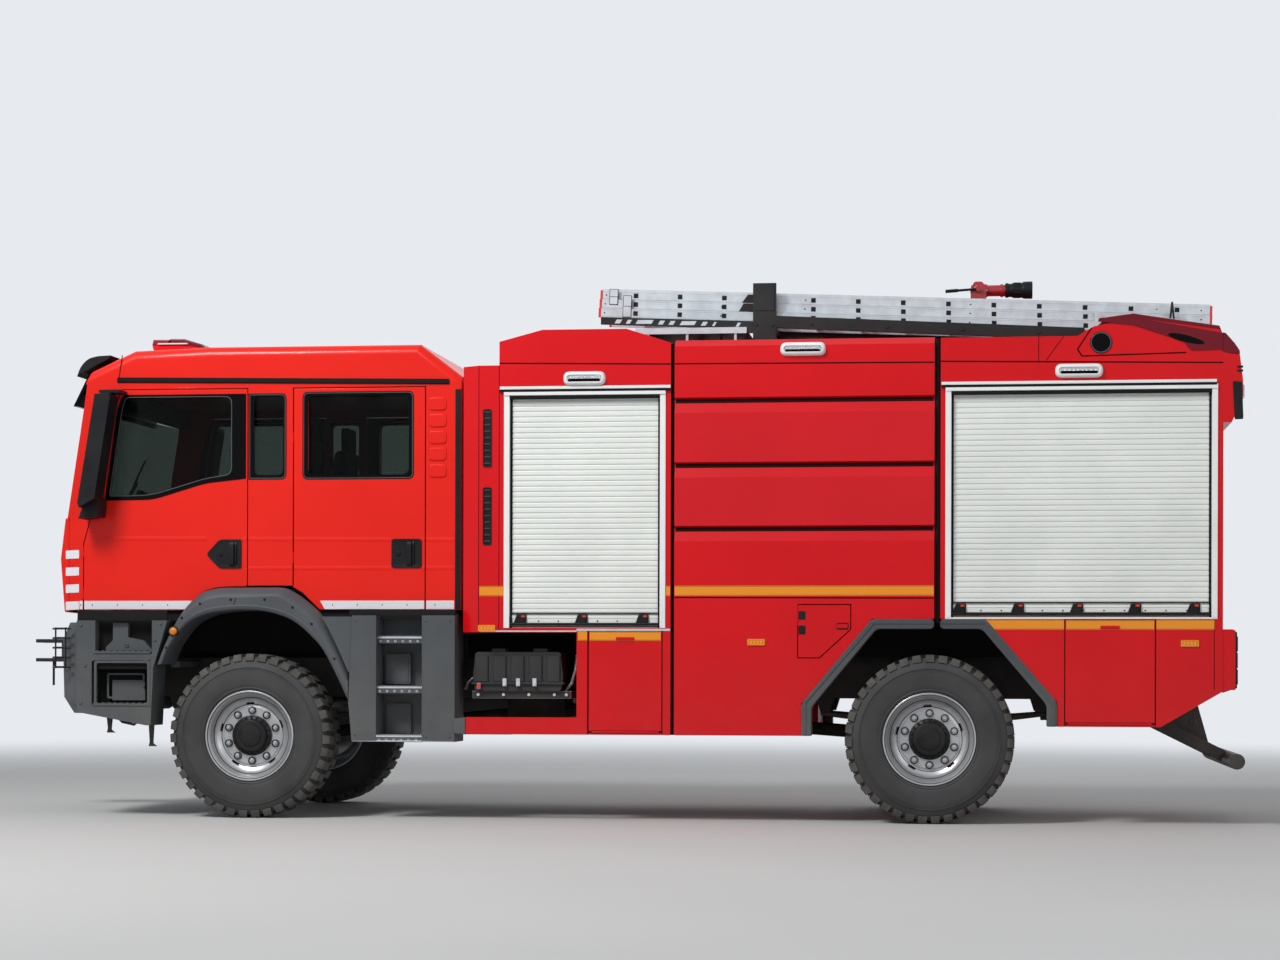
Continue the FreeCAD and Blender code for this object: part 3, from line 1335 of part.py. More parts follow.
node("front_bumper", front_bumper())
node("front_lamps", front_lamps())
node("front_fenders", front_fenders())
node("crew_steps", crew_steps())
node("battery_box", battery_box())
node("fuel_tank", fuel_tank())
node("underrun_guard", underrun_guard())
node("locker_front", locker_front())
node("tank_body", tank_body())
node("locker_rear", locker_rear())
node("shutters", shutters())
node("shutter_rails", shutter_rails())
node("arch_trims", arch_trims())
node("body_lamps", body_lamps())
node("walkway", walkway())
node("ladder_rack", ladder_rack())
node("ladder", ladder())
node("tank_hatch", tank_hatch())
monitor_parts = monitor()
node("monitor_base", monitor_parts[0])
node("monitor_head", monitor_parts[1])
node("monitor_barrel", monitor_parts[2])
for name, span in (("front_flap", front_flap), ("rear_flap", rear_flap)):
    start, stop, low, high = span
    base = s.body_bottom if name == "front_flap" else s.rear_bottom
    left, right = flap_pair(name, start, stop, base, high)
    node(f"{name}_left", left)
    node(f"{name}_right", right)

node("cab_shell", cab_shell())
node("cab_roof", cab_roof())
node("cab_glass", cab_glass())
node("front_panel", front_panel())
node("dashboard", dashboard())
node("seats", seats())
node("sun_visor", sun_visor())
node("light_bar", light_bar())
rear_window = rectangle((at(370), at(1080)), (2268, 2826))
rear_pane = rectangle((at(370) + s.seat, at(1080) - s.seat), (2268 + s.seat, 2826 - s.seat))
doors = (("front_door", front_door_outline(), front_glass_outline(0), front_glass_outline(s.seat), mirror_arm()),
         ("rear_door", rear_door_outline(), rear_window, rear_pane, []))
for name, outline, window, pane, extras in doors:
    left, right, pane_left, pane_right = door_pair(name, outline, window, pane, extras)
    node(f"{name}_left", left)
    node(f"{name}_right", right)
    node(f"{name}_glass_left", pane_left)
    node(f"{name}_glass_right", pane_right)

doc.recompute()
for thing in doc.Objects:
    if "Invalid" in thing.State or "Error" in thing.State:
        raise RuntimeError(f"{thing.Label} failed: {thing.State}")
for piece in nodes:
    if piece.Shape.isNull() or not piece.Shape.isValid():
        raise RuntimeError(f"{piece.Label} has no valid shape")

os.makedirs("parts", exist_ok=True)
for piece in nodes:
    piece.Shape.exportStep(f"parts/{piece.Label}.step")
print(len(nodes), "sub-parts written")
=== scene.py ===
import json
import math
import bmesh
import bpy
from mathutils import Matrix, Vector

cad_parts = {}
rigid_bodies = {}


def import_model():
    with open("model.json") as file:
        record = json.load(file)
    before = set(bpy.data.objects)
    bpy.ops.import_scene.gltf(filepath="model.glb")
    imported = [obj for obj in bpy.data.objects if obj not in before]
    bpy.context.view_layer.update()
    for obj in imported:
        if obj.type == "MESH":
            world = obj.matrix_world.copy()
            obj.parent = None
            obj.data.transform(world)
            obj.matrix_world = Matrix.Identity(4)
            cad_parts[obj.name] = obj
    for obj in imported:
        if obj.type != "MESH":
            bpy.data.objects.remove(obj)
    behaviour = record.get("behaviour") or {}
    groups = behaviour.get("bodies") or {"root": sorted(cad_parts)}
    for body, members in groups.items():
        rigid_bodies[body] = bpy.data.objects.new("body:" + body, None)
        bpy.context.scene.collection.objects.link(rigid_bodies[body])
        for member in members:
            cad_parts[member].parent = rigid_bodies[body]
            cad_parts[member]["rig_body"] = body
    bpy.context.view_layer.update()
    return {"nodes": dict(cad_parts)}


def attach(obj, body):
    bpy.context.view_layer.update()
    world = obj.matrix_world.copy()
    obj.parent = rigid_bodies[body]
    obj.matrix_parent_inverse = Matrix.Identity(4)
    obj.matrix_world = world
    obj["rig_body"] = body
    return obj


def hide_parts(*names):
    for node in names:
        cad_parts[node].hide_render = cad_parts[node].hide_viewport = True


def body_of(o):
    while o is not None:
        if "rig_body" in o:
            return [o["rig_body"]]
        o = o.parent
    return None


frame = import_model()
scene = bpy.context.scene
scene.view_settings.view_transform = "Standard"
print("frame loaded:", len(frame["nodes"]), "nodes")

# All sizes below are millimetres: x from the front axle back, y from the middle (left is minus),
# z from the ground
layout = {"frontAxle": -2322, "wheelbase": 4500, "cabSide": 1120, "bodySide": 1250, "hub": 546, "track": 1045}


def place(x, y, z):
    return Vector(((layout["frontAxle"] + x) / 1000, y / 1000, z / 1000))


# Materials

def nodesOf(material):
    material.use_nodes = True
    tree = material.node_tree
    shader = tree.nodes["Principled BSDF"]
    return tree, shader


def addNode(tree, kind, **settings):
    node = tree.nodes.new(kind)
    for key, value in settings.items():
        if key in node.inputs:
            node.inputs[key].default_value = value
        else:
            setattr(node, key, value)
    return node


def noiseColour(tree, source, colour, other, scale, low, high):
    noise = addNode(tree, "ShaderNodeTexNoise", Scale=scale, Detail=4)
    tree.links.new(source, noise.inputs["Vector"])
    ramp = addNode(tree, "ShaderNodeValToRGB")
    ramp.color_ramp.elements[0].position = low
    ramp.color_ramp.elements[1].position = high
    ramp.color_ramp.elements[0].color = (*colour, 1)
    ramp.color_ramp.elements[1].color = (*other, 1)
    tree.links.new(noise.outputs["Fac"], ramp.inputs["Fac"])
    return ramp.outputs["Color"]


# Road dust that thickens towards the ground, in patches
dustLayer = {"colour": (0.33, 0.29, 0.24), "none": 1.25, "full": 0.35, "patches": 7.0}


def dusted(tree, coords, clean, most):
    split = addNode(tree, "ShaderNodeSeparateXYZ")
    tree.links.new(coords, split.inputs[0])
    height = addNode(tree, "ShaderNodeMapRange", clamp=True)
    for key, value in (("From Min", dustLayer["none"]), ("From Max", dustLayer["full"]), ("To Min", 0.0),
                       ("To Max", most)):
        height.inputs[key].default_value = value
    tree.links.new(split.outputs["Z"], height.inputs["Value"])
    patch = addNode(tree, "ShaderNodeTexNoise", Scale=dustLayer["patches"], Detail=6.0)
    tree.links.new(coords, patch.inputs["Vector"])
    amount = addNode(tree, "ShaderNodeMath", operation="MULTIPLY")
    tree.links.new(height.outputs["Result"], amount.inputs[0])
    tree.links.new(patch.outputs["Fac"], amount.inputs[1])
    mix = addNode(tree, "ShaderNodeMix", data_type="RGBA")
    tree.links.new(amount.outputs[0], mix.inputs["Factor"])
    tree.links.new(clean, mix.inputs["A"])
    mix.inputs["B"].default_value = (*dustLayer["colour"], 1)
    return next(socket for socket in mix.outputs if socket.type == "RGBA")


# A finish of two close colours; grain is its scale, strength, depth and, where it is brushed, its stretch
def surface(name, colour, other=None, scale=2.0, rough=0.4, metal=0.0, coat=0.0, grain=None, dust=0.0,
            shine=0.5, fuzz=0.0):
    material = bpy.data.materials.new(name)
    tree, shader = nodesOf(material)
    coords = addNode(tree, "ShaderNodeTexCoord").outputs["Object"]
    result = noiseColour(tree, coords, colour, other or tuple(c * 0.9 for c in colour), scale, 0.35, 0.7)
    if dust:
        result = dusted(tree, coords, result, dust)
    tree.links.new(result, shader.inputs["Base Color"])
    for key, value in (("Roughness", rough), ("Metallic", metal), ("Coat Weight", coat),
                       ("Coat Roughness", 0.04), ("Specular IOR Level", shine), ("Sheen Weight", fuzz)):
        shader.inputs[key].default_value = value
    if grain:
        mapping = addNode(tree, "ShaderNodeMapping")
        mapping.inputs["Scale"].default_value = grain[3:] or (1, 1, 1)
        tree.links.new(coords, mapping.inputs["Vector"])
        fine = addNode(tree, "ShaderNodeTexNoise", Scale=grain[0], Detail=3.0)
        tree.links.new(mapping.outputs[0], fine.inputs["Vector"])
        bump = addNode(tree, "ShaderNodeBump", Strength=grain[1], Distance=grain[2])
        tree.links.new(fine.outputs["Fac"], bump.inputs["Height"])
        tree.links.new(bump.outputs["Normal"], shader.inputs["Normal"])
    return material


# Tape or plate with a regular pressed pattern
def patterned(name, colour, darker, cell, rough, metal=0.0, bumpDistance=0.0004):
    material = bpy.data.materials.new(name)
    tree, shader = nodesOf(material)
    coords = addNode(tree, "ShaderNodeTexCoord").outputs["Object"]
    cells = addNode(tree, "ShaderNodeTexVoronoi", Scale=cell, Randomness=0.0, feature="F1")
    tree.links.new(coords, cells.inputs["Vector"])
    ramp = addNode(tree, "ShaderNodeValToRGB")
    ramp.color_ramp.elements[0].position = 0.25
    ramp.color_ramp.elements[1].position = 0.75
    ramp.color_ramp.elements[0].color = (*colour, 1)
    ramp.color_ramp.elements[1].color = (*darker, 1)
    tree.links.new(cells.outputs["Distance"], ramp.inputs["Fac"])
    tree.links.new(ramp.outputs["Color"], shader.inputs["Base Color"])
    bump = addNode(tree, "ShaderNodeBump", Strength=0.5, Distance=bumpDistance)
    tree.links.new(cells.outputs["Distance"], bump.inputs["Height"])
    tree.links.new(bump.outputs["Normal"], shader.inputs["Normal"])
    shader.inputs["Roughness"].default_value = rough
    shader.inputs["Metallic"].default_value = metal
    return material


# Lenses and windows
def glassy(name, colour, rough=0.02, transmission=1.0, ior=1.45):
    material = bpy.data.materials.new(name)
    tree, shader = nodesOf(material)
    coords = addNode(tree, "ShaderNodeTexCoord").outputs["Object"]
    result = noiseColour(tree, coords, colour, tuple(c * 0.93 for c in colour), 3.0, 0.3, 0.8)
    tree.links.new(result, shader.inputs["Base Color"])
    shader.inputs["Roughness"].default_value = rough
    shader.inputs["Transmission Weight"].default_value = transmission
    shader.inputs["IOR"].default_value = ior
    return material


paintGrain = (90, 0.06, 0.0004)
mats = {
    "cabRed": surface("cabRed", (0.74, 0.014, 0.006), (0.68, 0.011, 0.005), 1.2, 0.36, coat=0.14,
                      grain=paintGrain, dust=0.06, shine=0.15),
    "bodyRed": surface("bodyRed", (0.63, 0.003, 0.007), (0.57, 0.002, 0.006), 1.2, 0.34, coat=0.16,
                       grain=paintGrain, dust=0.06, shine=0.15),
    "bandRed": surface("bandRed", (0.60, 0.004, 0.010), (0.54, 0.003, 0.008), 1.0, 0.30, coat=0.22,
                       grain=paintGrain, shine=0.18),
    "greyPlastic": surface("greyPlastic", (0.072, 0.079, 0.086), (0.060, 0.066, 0.072), 3.0, 0.55,
                           grain=(260, 0.25, 0.0006), dust=0.30, shine=0.25),
    "blackPlastic": surface("blackPlastic", (0.007, 0.007, 0.008), (0.013, 0.013, 0.014), 5.0, 0.46,
                            grain=(240, 0.2, 0.0005), shine=0.16),
    "blackGloss": surface("blackGloss", (0.003, 0.003, 0.0035), None, 3.0, 0.16, coat=0.0, shine=0.06),
    "rubber": surface("rubber", (0.009, 0.009, 0.009), None, 6.0, 0.7, grain=(150, 0.2, 0.0004), shine=0.10),
    "tyreWall": surface("tyreWall", (0.056, 0.056, 0.057), (0.038, 0.038, 0.039), 4.0, 0.66,
                        grain=(180, 0.25, 0.0006), shine=0.25),
    "tyreTread": surface("tyreTread", (0.050, 0.048, 0.045), (0.095, 0.088, 0.075), 9.0, 0.85,
                         grain=(120, 0.5, 0.0012)),
    "rimSilver": surface("rimSilver", (0.45, 0.46, 0.47), (0.37, 0.38, 0.39), 5.0, 0.34, 0.55,
                         grain=(200, 0.08, 0.0003), coat=0.12),
    "hubBlack": surface("hubBlack", (0.008, 0.008, 0.009), (0.020, 0.019, 0.017), 9.0, 0.42,
                        grain=(140, 0.2, 0.0005), shine=0.2),
    "castIron": surface("castIron", (0.016, 0.015, 0.014), (0.036, 0.030, 0.025), 8.0, 0.75,
                        grain=(90, 0.5, 0.001), shine=0.2),
    "frameBlack": surface("frameBlack", (0.013, 0.013, 0.014), (0.026, 0.025, 0.024), 4.0, 0.5, dust=0.25,
                          grain=(150, 0.15, 0.0005), shine=0.22),
    "springSteel": surface("springSteel", (0.05, 0.048, 0.045), (0.09, 0.07, 0.05), 10.0, 0.6, 0.6,
                           grain=(160, 0.3, 0.0006, 1, 6, 1)),
    "aluminium": surface("aluminium", (0.58, 0.62, 0.65), (0.48, 0.51, 0.54), 12.0, 0.36, 0.45,
                         grain=(60, 0.12, 0.0003, 0.15, 6, 6)),
    "treadPlate": patterned("treadPlate", (0.55, 0.57, 0.58), (0.36, 0.37, 0.38), 55, 0.38, 0.5, 0.002),
    "shutterWhite": surface("shutterWhite", (0.73, 0.75, 0.71), (0.67, 0.69, 0.655), 2.5, 0.42, 0.0,
                            grain=(50, 0.08, 0.0003, 0.2, 1, 5)),
    "railWhite": surface("railWhite", (0.80, 0.80, 0.79), (0.74, 0.74, 0.735), 4.0, 0.3, coat=0.5),
    "lampWhite": surface("lampWhite", (0.80, 0.80, 0.79), (0.72, 0.72, 0.72), 8.0, 0.28, coat=0.6),
    "tapeYellow": patterned("tapeYellow", (0.86, 0.30, 0.006), (0.66, 0.20, 0.004), 190, 0.35),
    "tapeWhite": patterned("tapeWhite", (0.80, 0.80, 0.82), (0.62, 0.62, 0.66), 170, 0.35),
    "amber": glassy("amber", (0.95, 0.30, 0.02), 0.15, 0.35),
    "redLens": glassy("redLens", (0.42, 0.012, 0.03), 0.12, 0.45),
    "deepLens": glassy("deepLens", (0.17, 0.004, 0.014), 0.14, 0.12, 1.3),
    "clearLens": glassy("clearLens", (0.86, 0.88, 0.88), 0.06, 0.75),
    "windowGlass": glassy("windowGlass", (0.17, 0.20, 0.185), 0.01, 1.0, 1.16),
    "chrome": surface("chrome", (0.78, 0.79, 0.80), None, 6.0, 0.12, 1.0),
    "monitorRed": surface("monitorRed", (0.42, 0.010, 0.018), (0.30, 0.008, 0.014), 8.0, 0.3, coat=0.5),
    "seam": surface("seam", (0.018, 0.002, 0.003), None, 3.0, 0.7, shine=0.08),
    "coverGrey": surface("coverGrey", (0.040, 0.040, 0.041), (0.030, 0.030, 0.031), 5.0, 0.5,
                         grain=(240, 0.2, 0.0005), shine=0.2),
    "cloth": surface("cloth", (0.035, 0.036, 0.04), (0.055, 0.056, 0.062), 30.0, 0.92,
                     grain=(420, 0.7, 0.0012), fuzz=0.3),
    "labelRed": surface("labelRed", (0.62, 0.03, 0.02), None, 6.0, 0.4),
}
print("materials ready:", len(mats))


# Mesh helpers

def listOf(value):
    return list(value) if isinstance(value, (list, tuple)) else [value]


# Turns a bmesh into a piece with its finishes and its body
def finishPiece(name, bm, material, body, smooth=32):
    mesh = bpy.data.meshes.new(name)
    bmesh.ops.recalc_face_normals(bm, faces=bm.faces)
    bm.to_mesh(mesh)
    bm.free()
    mesh.shade_smooth()
    mesh.set_sharp_from_angle(angle=math.radians(smooth))
    for entry in listOf(material):
        mesh.materials.append(mats[entry])
    piece = bpy.data.objects.new(name, mesh)
    scene.collection.objects.link(piece)
    even = piece.modifiers.new("evenNormals", "WEIGHTED_NORMAL")
    even.keep_sharp = True
    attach(piece, body)
    return piece


# Outline points to space: side is (x, z) along y, plan is (x, y) along z, cross is (y, z) along x
def lift(view, u, v, w):
    if view == "side":
        return place(u, w, v)
    if view == "plan":
        return place(u, v, w)
    return place(w, u, v)


# Joins rings of as many points into one skin, with a face at each end unless it closes on itself
def joinRings(bm, rings, index=0, closed=False, caps=(0, -1)):
    faces = [] if closed else [bm.faces.new(rings[n][::-1] if n else rings[n]) for n in caps]
    for a, b in zip(rings, rings[1:] + rings[:1] if closed else rings[1:]):
        for i in range(len(a)):
            j = (i + 1) % len(a)
            faces.append(bm.faces.new((a[i], b[i], b[j], a[j])))
    for face in faces:
        face.material_index = index


def addPrism(bm, view, outline, start, stop, index=0):
    joinRings(bm, [[bm.verts.new(lift(view, u, v, w)) for u, v in outline] for w in (start, stop)], index)


def addBox(bm, xs, ys, zs, index=0):
    addPrism(bm, "side", rectangle(xs, zs), *ys, index)


# A flat frame between two outlines with as many points
def addRing(bm, view, outer, inner, start, stop, index=0):
    levels = ((outer, start), (outer, stop), (inner, stop), (inner, start))
    joinRings(bm, [[bm.verts.new(lift(view, u, v, w)) for u, v in line] for line, w in levels], index, True)


# An outline with its corners rounded by one radius, or by a radius for each corner
def rounded(points, radius, steps=5):
    radii = radius if isinstance(radius, (list, tuple)) else [radius] * len(points)
    result = []
    for i, point in enumerate(points):
        here = Vector(point)
        back = Vector(points[i - 1]) - here
        ahead = Vector(points[(i + 1) % len(points)]) - here
        reach = min(radii[i], back.length * 0.49, ahead.length * 0.49)
        start = here + back.normalized() * reach
        end = here + ahead.normalized() * reach
        for k in range(steps + 1):
            t = k / steps
            result.append(tuple(start * (1 - t) ** 2 + here * 2 * t * (1 - t) + end * t ** 2))
    return result


def rectangle(us, vs):
    return [(us[0], vs[0]), (us[1], vs[0]), (us[1], vs[1]), (us[0], vs[1])]


# A rectangle with round corners
def softBox(us, vs, radius, steps=5):
    return rounded(rectangle(us, vs), radius, steps)


# Points of an outline drawn in towards its middle
def shrunk(points, middle, scale):
    return [tuple(middle + (Vector(p) - middle) * scale) for p in points]


# Rounds every edge that is sharper than the angle
def soften(bm, width, segments=2, angle=28):
    edges = [edge for edge in bm.edges
             if len(edge.link_faces) == 2 and edge.calc_face_angle(0) > math.radians(angle)]
    if edges:
        bmesh.ops.bevel(bm, geom=edges, offset=width / 1000, segments=segments, profile=0.5, affect="EDGES",
                        clamp_overlap=True, miter_outer="ARC")


def mirrorInto(bm):
    faces = list(bm.faces)
    copies = {vert: bm.verts.new((vert.co.x, -vert.co.y, vert.co.z)) for vert in list(bm.verts)}
    for face in faces:
        bm.faces.new([copies[v] for v in reversed(face.verts)]).material_index = face.material_index


# Makes one piece from a builder; "same" mirrors it into one mesh, "bodies" makes a left and a right piece
def make(name, build, material, body="chassis", pair="same", bevel=0, smooth=32):
    made = []
    for hand in ("left", "right") if pair == "bodies" else ("",):
        bm = bmesh.new()
        build(bm)
        if bevel:
            soften(bm, bevel)
        if pair == "same":
            mirrorInto(bm)
        if hand == "right":
            bmesh.ops.scale(bm, vec=(1, -1, 1), verts=bm.verts)
        owner = body.replace("left", hand) if hand else body
        made.append(finishPiece(name + hand.title(), bm, material, owner,
                                smooth))
    return made


# Points of a unit circle
def circle(count):
    return [(math.cos(2 * math.pi * k / count), math.sin(2 * math.pi * k / count)) for k in range(count)]


# A turned form about the Y axis; profile is (out, radius), with out measured to the side that it faces
def addTurned(bm, profile, centre, facing, segments, closed=False, index=0):
    joinRings(bm, [[bm.verts.new(centre + Vector((radius * c, facing * out, radius * s)) / 1000)
                    for c, s in circle(segments)] for out, radius in profile], index, closed)


# The same about the X axis; profile is (place along X, radius)
def addTurnedX(bm, profile, centre, segments=28, index=0):
    joinRings(bm, [[bm.verts.new(centre + Vector((along, radius * c, radius * s)) / 1000)
                    for c, s in circle(segments)] for along, radius in profile], index)


# A round bar between two places
def addBar(bm, start, end, radius, segments=16, index=0):
    first, last = place(*start), place(*end)
    turn = (last - first).normalized().to_track_quat("Z", "Y").to_matrix()
    ends = [[bm.verts.new(spot + turn @ Vector((radius * c, radius * s, 0)) / 1000)
             for c, s in circle(segments)] for spot in (last, first)]
    joinRings(bm, ends, index, caps=())
    for ring in ends[::-1]:
        bm.faces.new(ring).material_index = index


# Bars along several places with a ball at each bend
def addPath(bm, points, radius, segments=10, index=0):
    for a, b in zip(points, points[1:]):
        addBar(bm, a, b, radius, segments, index)
        bmesh.ops.create_uvsphere(bm, u_segments=segments, v_segments=6, radius=radius / 1000,
                                  matrix=Matrix.Translation(place(*b)))


# Adds a finished bmesh to another one
def mergeInto(bm, other):
    spare = bpy.data.meshes.new("spare")
    other.to_mesh(spare)
    other.free()
    bm.from_mesh(spare)
    bpy.data.meshes.remove(spare)


# A CAD node's own shape with its edges rounded, and finishes picked by place
def dressed(node, width, material, pick=None, segments=2, angle=28, smooth=32, corners=None):
    source = frame["nodes"][node]
    bm = bmesh.new()
    bm.from_mesh(source.data)
    bmesh.ops.remove_doubles(bm, verts=bm.verts, dist=0.00002)
    bmesh.ops.dissolve_limit(bm, angle_limit=math.radians(0.6), verts=bm.verts, edges=bm.edges)
    bmesh.ops.connect_verts_concave(bm, faces=[face for face in bm.faces if len(face.verts) > 4])
    if corners:
        radius, above = corners
        across = [edge for edge in bm.edges if len(edge.link_faces) == 2
                  and edge.calc_face_angle(0) > math.radians(8) and edge.calc_length() > 0.03
                  and abs((edge.verts[1].co - edge.verts[0].co).normalized().y) > 0.999
                  and (edge.verts[0].co.z + edge.verts[1].co.z) * 500 > above]
        bmesh.ops.bevel(bm, geom=across, offset=radius / 1000, segments=5, profile=0.5, affect="EDGES",
                        clamp_overlap=True)
    soften(bm, width, segments, angle)
    if pick:
        for face in bm.faces:
            centre = face.calc_center_median() * 1000
            face.material_index = pick(Vector((centre.x - layout["frontAxle"], centre.y, centre.z)),
                                       face.normal)
    piece = finishPiece(node + "Dressed", bm, material, body_of(source)[0], smooth)
    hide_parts(node)
    return piece


# A CAD node shown as it is, in one finish
def bare(node, material):
    target = frame["nodes"][node]
    target.data.materials.clear()
    target.data.materials.append(mats[material])


# Camera and studio

studio = {"eye": (4903, -19167, 986), "turnRad": 0.1265, "lens": 77.94, "shiftUp": 0.1488, "rollRad": 0.0023,
          "floor": (0.50, 0.50, 0.49), "pale": (0.80, 0.83, 0.87), "sky": 0.36, "fade": (7, 22),
          "lights": (("keyLight", (-5.5, -9, 11), (0, 0, 1.2), 3.2, 1500),
                     ("sideLight", (9, -10, 5), (1, 0, 1.6), 5, 210),
                     ("backLight", (2, 11, 8), (0, 0, 1.5), 7, 210))}


# Pale floor that fades into the backdrop colour away from the vehicle
def floorMaterial():
    material = surface("floorPale", studio["floor"], tuple(c * 0.97 for c in studio["floor"]), 0.6, 0.85)
    tree = material.node_tree
    shader = tree.nodes["Principled BSDF"]
    coords = addNode(tree, "ShaderNodeTexCoord").outputs["Object"]
    far = addNode(tree, "ShaderNodeVectorMath", operation="LENGTH")
    tree.links.new(coords, far.inputs[0])
    fade = addNode(tree, "ShaderNodeMapRange", interpolation_type="SMOOTHSTEP")
    fade.inputs["From Min"].default_value, fade.inputs["From Max"].default_value = studio["fade"]
    tree.links.new(far.outputs["Value"], fade.inputs["Value"])
    glow = addNode(tree, "ShaderNodeEmission")
    glow.inputs["Color"].default_value = (*studio["pale"], 1)
    mix = addNode(tree, "ShaderNodeMixShader")
    tree.links.new(fade.outputs["Result"], mix.inputs[0])
    tree.links.new(shader.outputs[0], mix.inputs[1])
    tree.links.new(glow.outputs[0], mix.inputs[2])
    tree.links.new(mix.outputs[0], tree.nodes["Material Output"].inputs["Surface"])
    return material


def buildStudio():
    data = bpy.data.cameras.new("studioCamera")
    data.lens = studio["lens"]
    data.sensor_width = 36
    data.sensor_fit = "HORIZONTAL"
    data.shift_y = studio["shiftUp"]
    data.clip_end = 200
    camera = bpy.data.objects.new("studioCamera", data)
    camera.location = place(*studio["eye"])
    forward = Vector((-math.sin(studio["turnRad"]), math.cos(studio["turnRad"]), 0))
    camera.rotation_mode = "QUATERNION"
    roll = Matrix.Rotation(studio["rollRad"], 3, "Z")
    camera.rotation_quaternion = (forward.to_track_quat("-Z", "Y").to_matrix() @ roll).to_quaternion()
    scene.collection.objects.link(camera)
    scene.camera = camera

    bm = bmesh.new()
    bmesh.ops.create_grid(bm, x_segments=2, y_segments=2, size=60)
    mesh = bpy.data.meshes.new("studioFloor")
    bm.to_mesh(mesh)
    bm.free()
    floor = bpy.data.objects.new("studioFloor", mesh)
    floor.location.z = -0.0015
    scene.collection.objects.link(floor)
    mesh.materials.append(floorMaterial())

    world = bpy.data.worlds.new("studioWorld")
    scene.world = world
    world.use_nodes = True
    tree = world.node_tree
    back = tree.nodes["Background"]
    back.inputs["Color"].default_value = (0.86, 0.89, 0.94, 1)
    back.inputs["Strength"].default_value = studio["sky"]
    seen = addNode(tree, "ShaderNodeBackground")
    seen.inputs["Color"].default_value = (*studio["pale"], 1)
    seen.inputs["Strength"].default_value = 1.0
    path = addNode(tree, "ShaderNodeLightPath")
    mix = addNode(tree, "ShaderNodeMixShader")
    first = addNode(tree, "ShaderNodeMath", operation="MAXIMUM")
    both = addNode(tree, "ShaderNodeMath", operation="MAXIMUM")
    tree.links.new(path.outputs["Is Camera Ray"], first.inputs[0])
    tree.links.new(path.outputs["Is Glossy Ray"], first.inputs[1])
    tree.links.new(first.outputs[0], both.inputs[0])
    tree.links.new(path.outputs["Is Transmission Ray"], both.inputs[1])
    tree.links.new(both.outputs[0], mix.inputs[0])
    tree.links.new(back.outputs[0], mix.inputs[1])
    tree.links.new(seen.outputs[0], mix.inputs[2])
    tree.links.new(mix.outputs[0], tree.nodes["World Output"].inputs["Surface"])

    for name, spot, aim, size, power in studio["lights"]:
        light = bpy.data.lights.new(name, "AREA")
        light.energy = power
        light.size = size
        lamp = bpy.data.objects.new(name, light)
        lamp.location = spot
        lamp.rotation_mode = "QUATERNION"
        lamp.rotation_quaternion = (Vector(aim) - Vector(spot)).to_track_quat("-Z", "Y")
        scene.collection.objects.link(lamp)


buildStudio()
print("studio ready")

# Wheels and tyres

wheelSizes = {"halfRim": 165, "tyre": 546, "halfTyre": 180, "lugs": 39, "lugDepth": 18, "lugLength": 58,
              "nutCircle": 167.5, "nuts": 10, "capCircle": 122, "handHoles": 5, "shoulderRibs": 150,
              "grooves": ((285, 289, -6.5, 1), (252, 257, -52.5, -46.2), (207, 212, -84.5, -82))}


# Rim barrel, lip, dish and nave as one turned skin
def rimSkin(bm, centre, facing):
    half = wheelSizes["halfRim"]
    addTurned(bm, [(half, 300), (half + 2, 297), (half + 1, 289), (half - 8, 284), (half - 14, 276),
                   (half - 26, 268), (half - 40, 262), (half - 60, 246), (half - 72, 232), (84, 214),
                   (80, 206), (80, 199), (84, 194), (86, 188), (84, 120), (84, 60), (46, 60), (46, 196),
                   (70, 222), (60, 236), (-120, 262), (-half + 4, 286), (-half, 292), (-half, 300),
                   (-half + 12, 300), (-half + 26, 272), (half - 26, 272), (half - 12, 300)], centre, facing,
              96, True)


# Dark rings in the rim's grooves: painted shade where the grooves are deep
def rimGrooveShade(bm, centre, facing):
    half = wheelSizes["halfRim"]
    for inner, outer, inside, outside in wheelSizes["grooves"]:
        low, high = half + inside, half + outside
        addTurned(bm, [(low + 0.8, inner), (high + 0.8, outer), (high - 3, outer), (low - 3, inner)], centre,
                  facing, 96, True)


# Hand holes around the nave drawn as dark patches: painted shade inside the holes
def handHoles(bm, centre, facing):
    count = wheelSizes["handHoles"]
    for k in range(count):
        angles = [2 * math.pi * (k / count + 0.06) + 0.12 * (i / 6 * 2 - 1) for i in range(7)]
        loop = [(math.cos(a) * 207, math.sin(a) * 207, 84) for a in angles]
        loop += [(math.cos(a) * 219, math.sin(a) * 219, 94) for a in angles[::-1]]
        joinRings(bm, [[bm.verts.new(centre + Vector((x, facing * out, z)) / 1000) for x, z, out in ring]
                       for ring in ([(x, z, 82) for x, z, out in loop], loop)])


# Black cap with a flange, a dome and a ring of bolts
def hubCap(bm, centre, facing):
    addTurned(bm, [(84, 134), (98, 134), (104, 126), (112, 112), (132, 104), (136, 98), (137, 74), (144, 68),
                   (147, 52), (148, 20), (146, 4)], centre, facing, 60)
    ring = wheelSizes["capCircle"]
    for c, s in circle(wheelSizes["nuts"] * 2):
        spot = centre + Vector((c * ring, facing * 104, s * ring)) / 1000
        bmesh.ops.create_cone(bm, cap_ends=True, segments=8, radius1=0.011, radius2=0.008, depth=0.02,
                              matrix=Matrix.Translation(spot) @ Matrix.Rotation(math.pi / 2, 4, "X"))


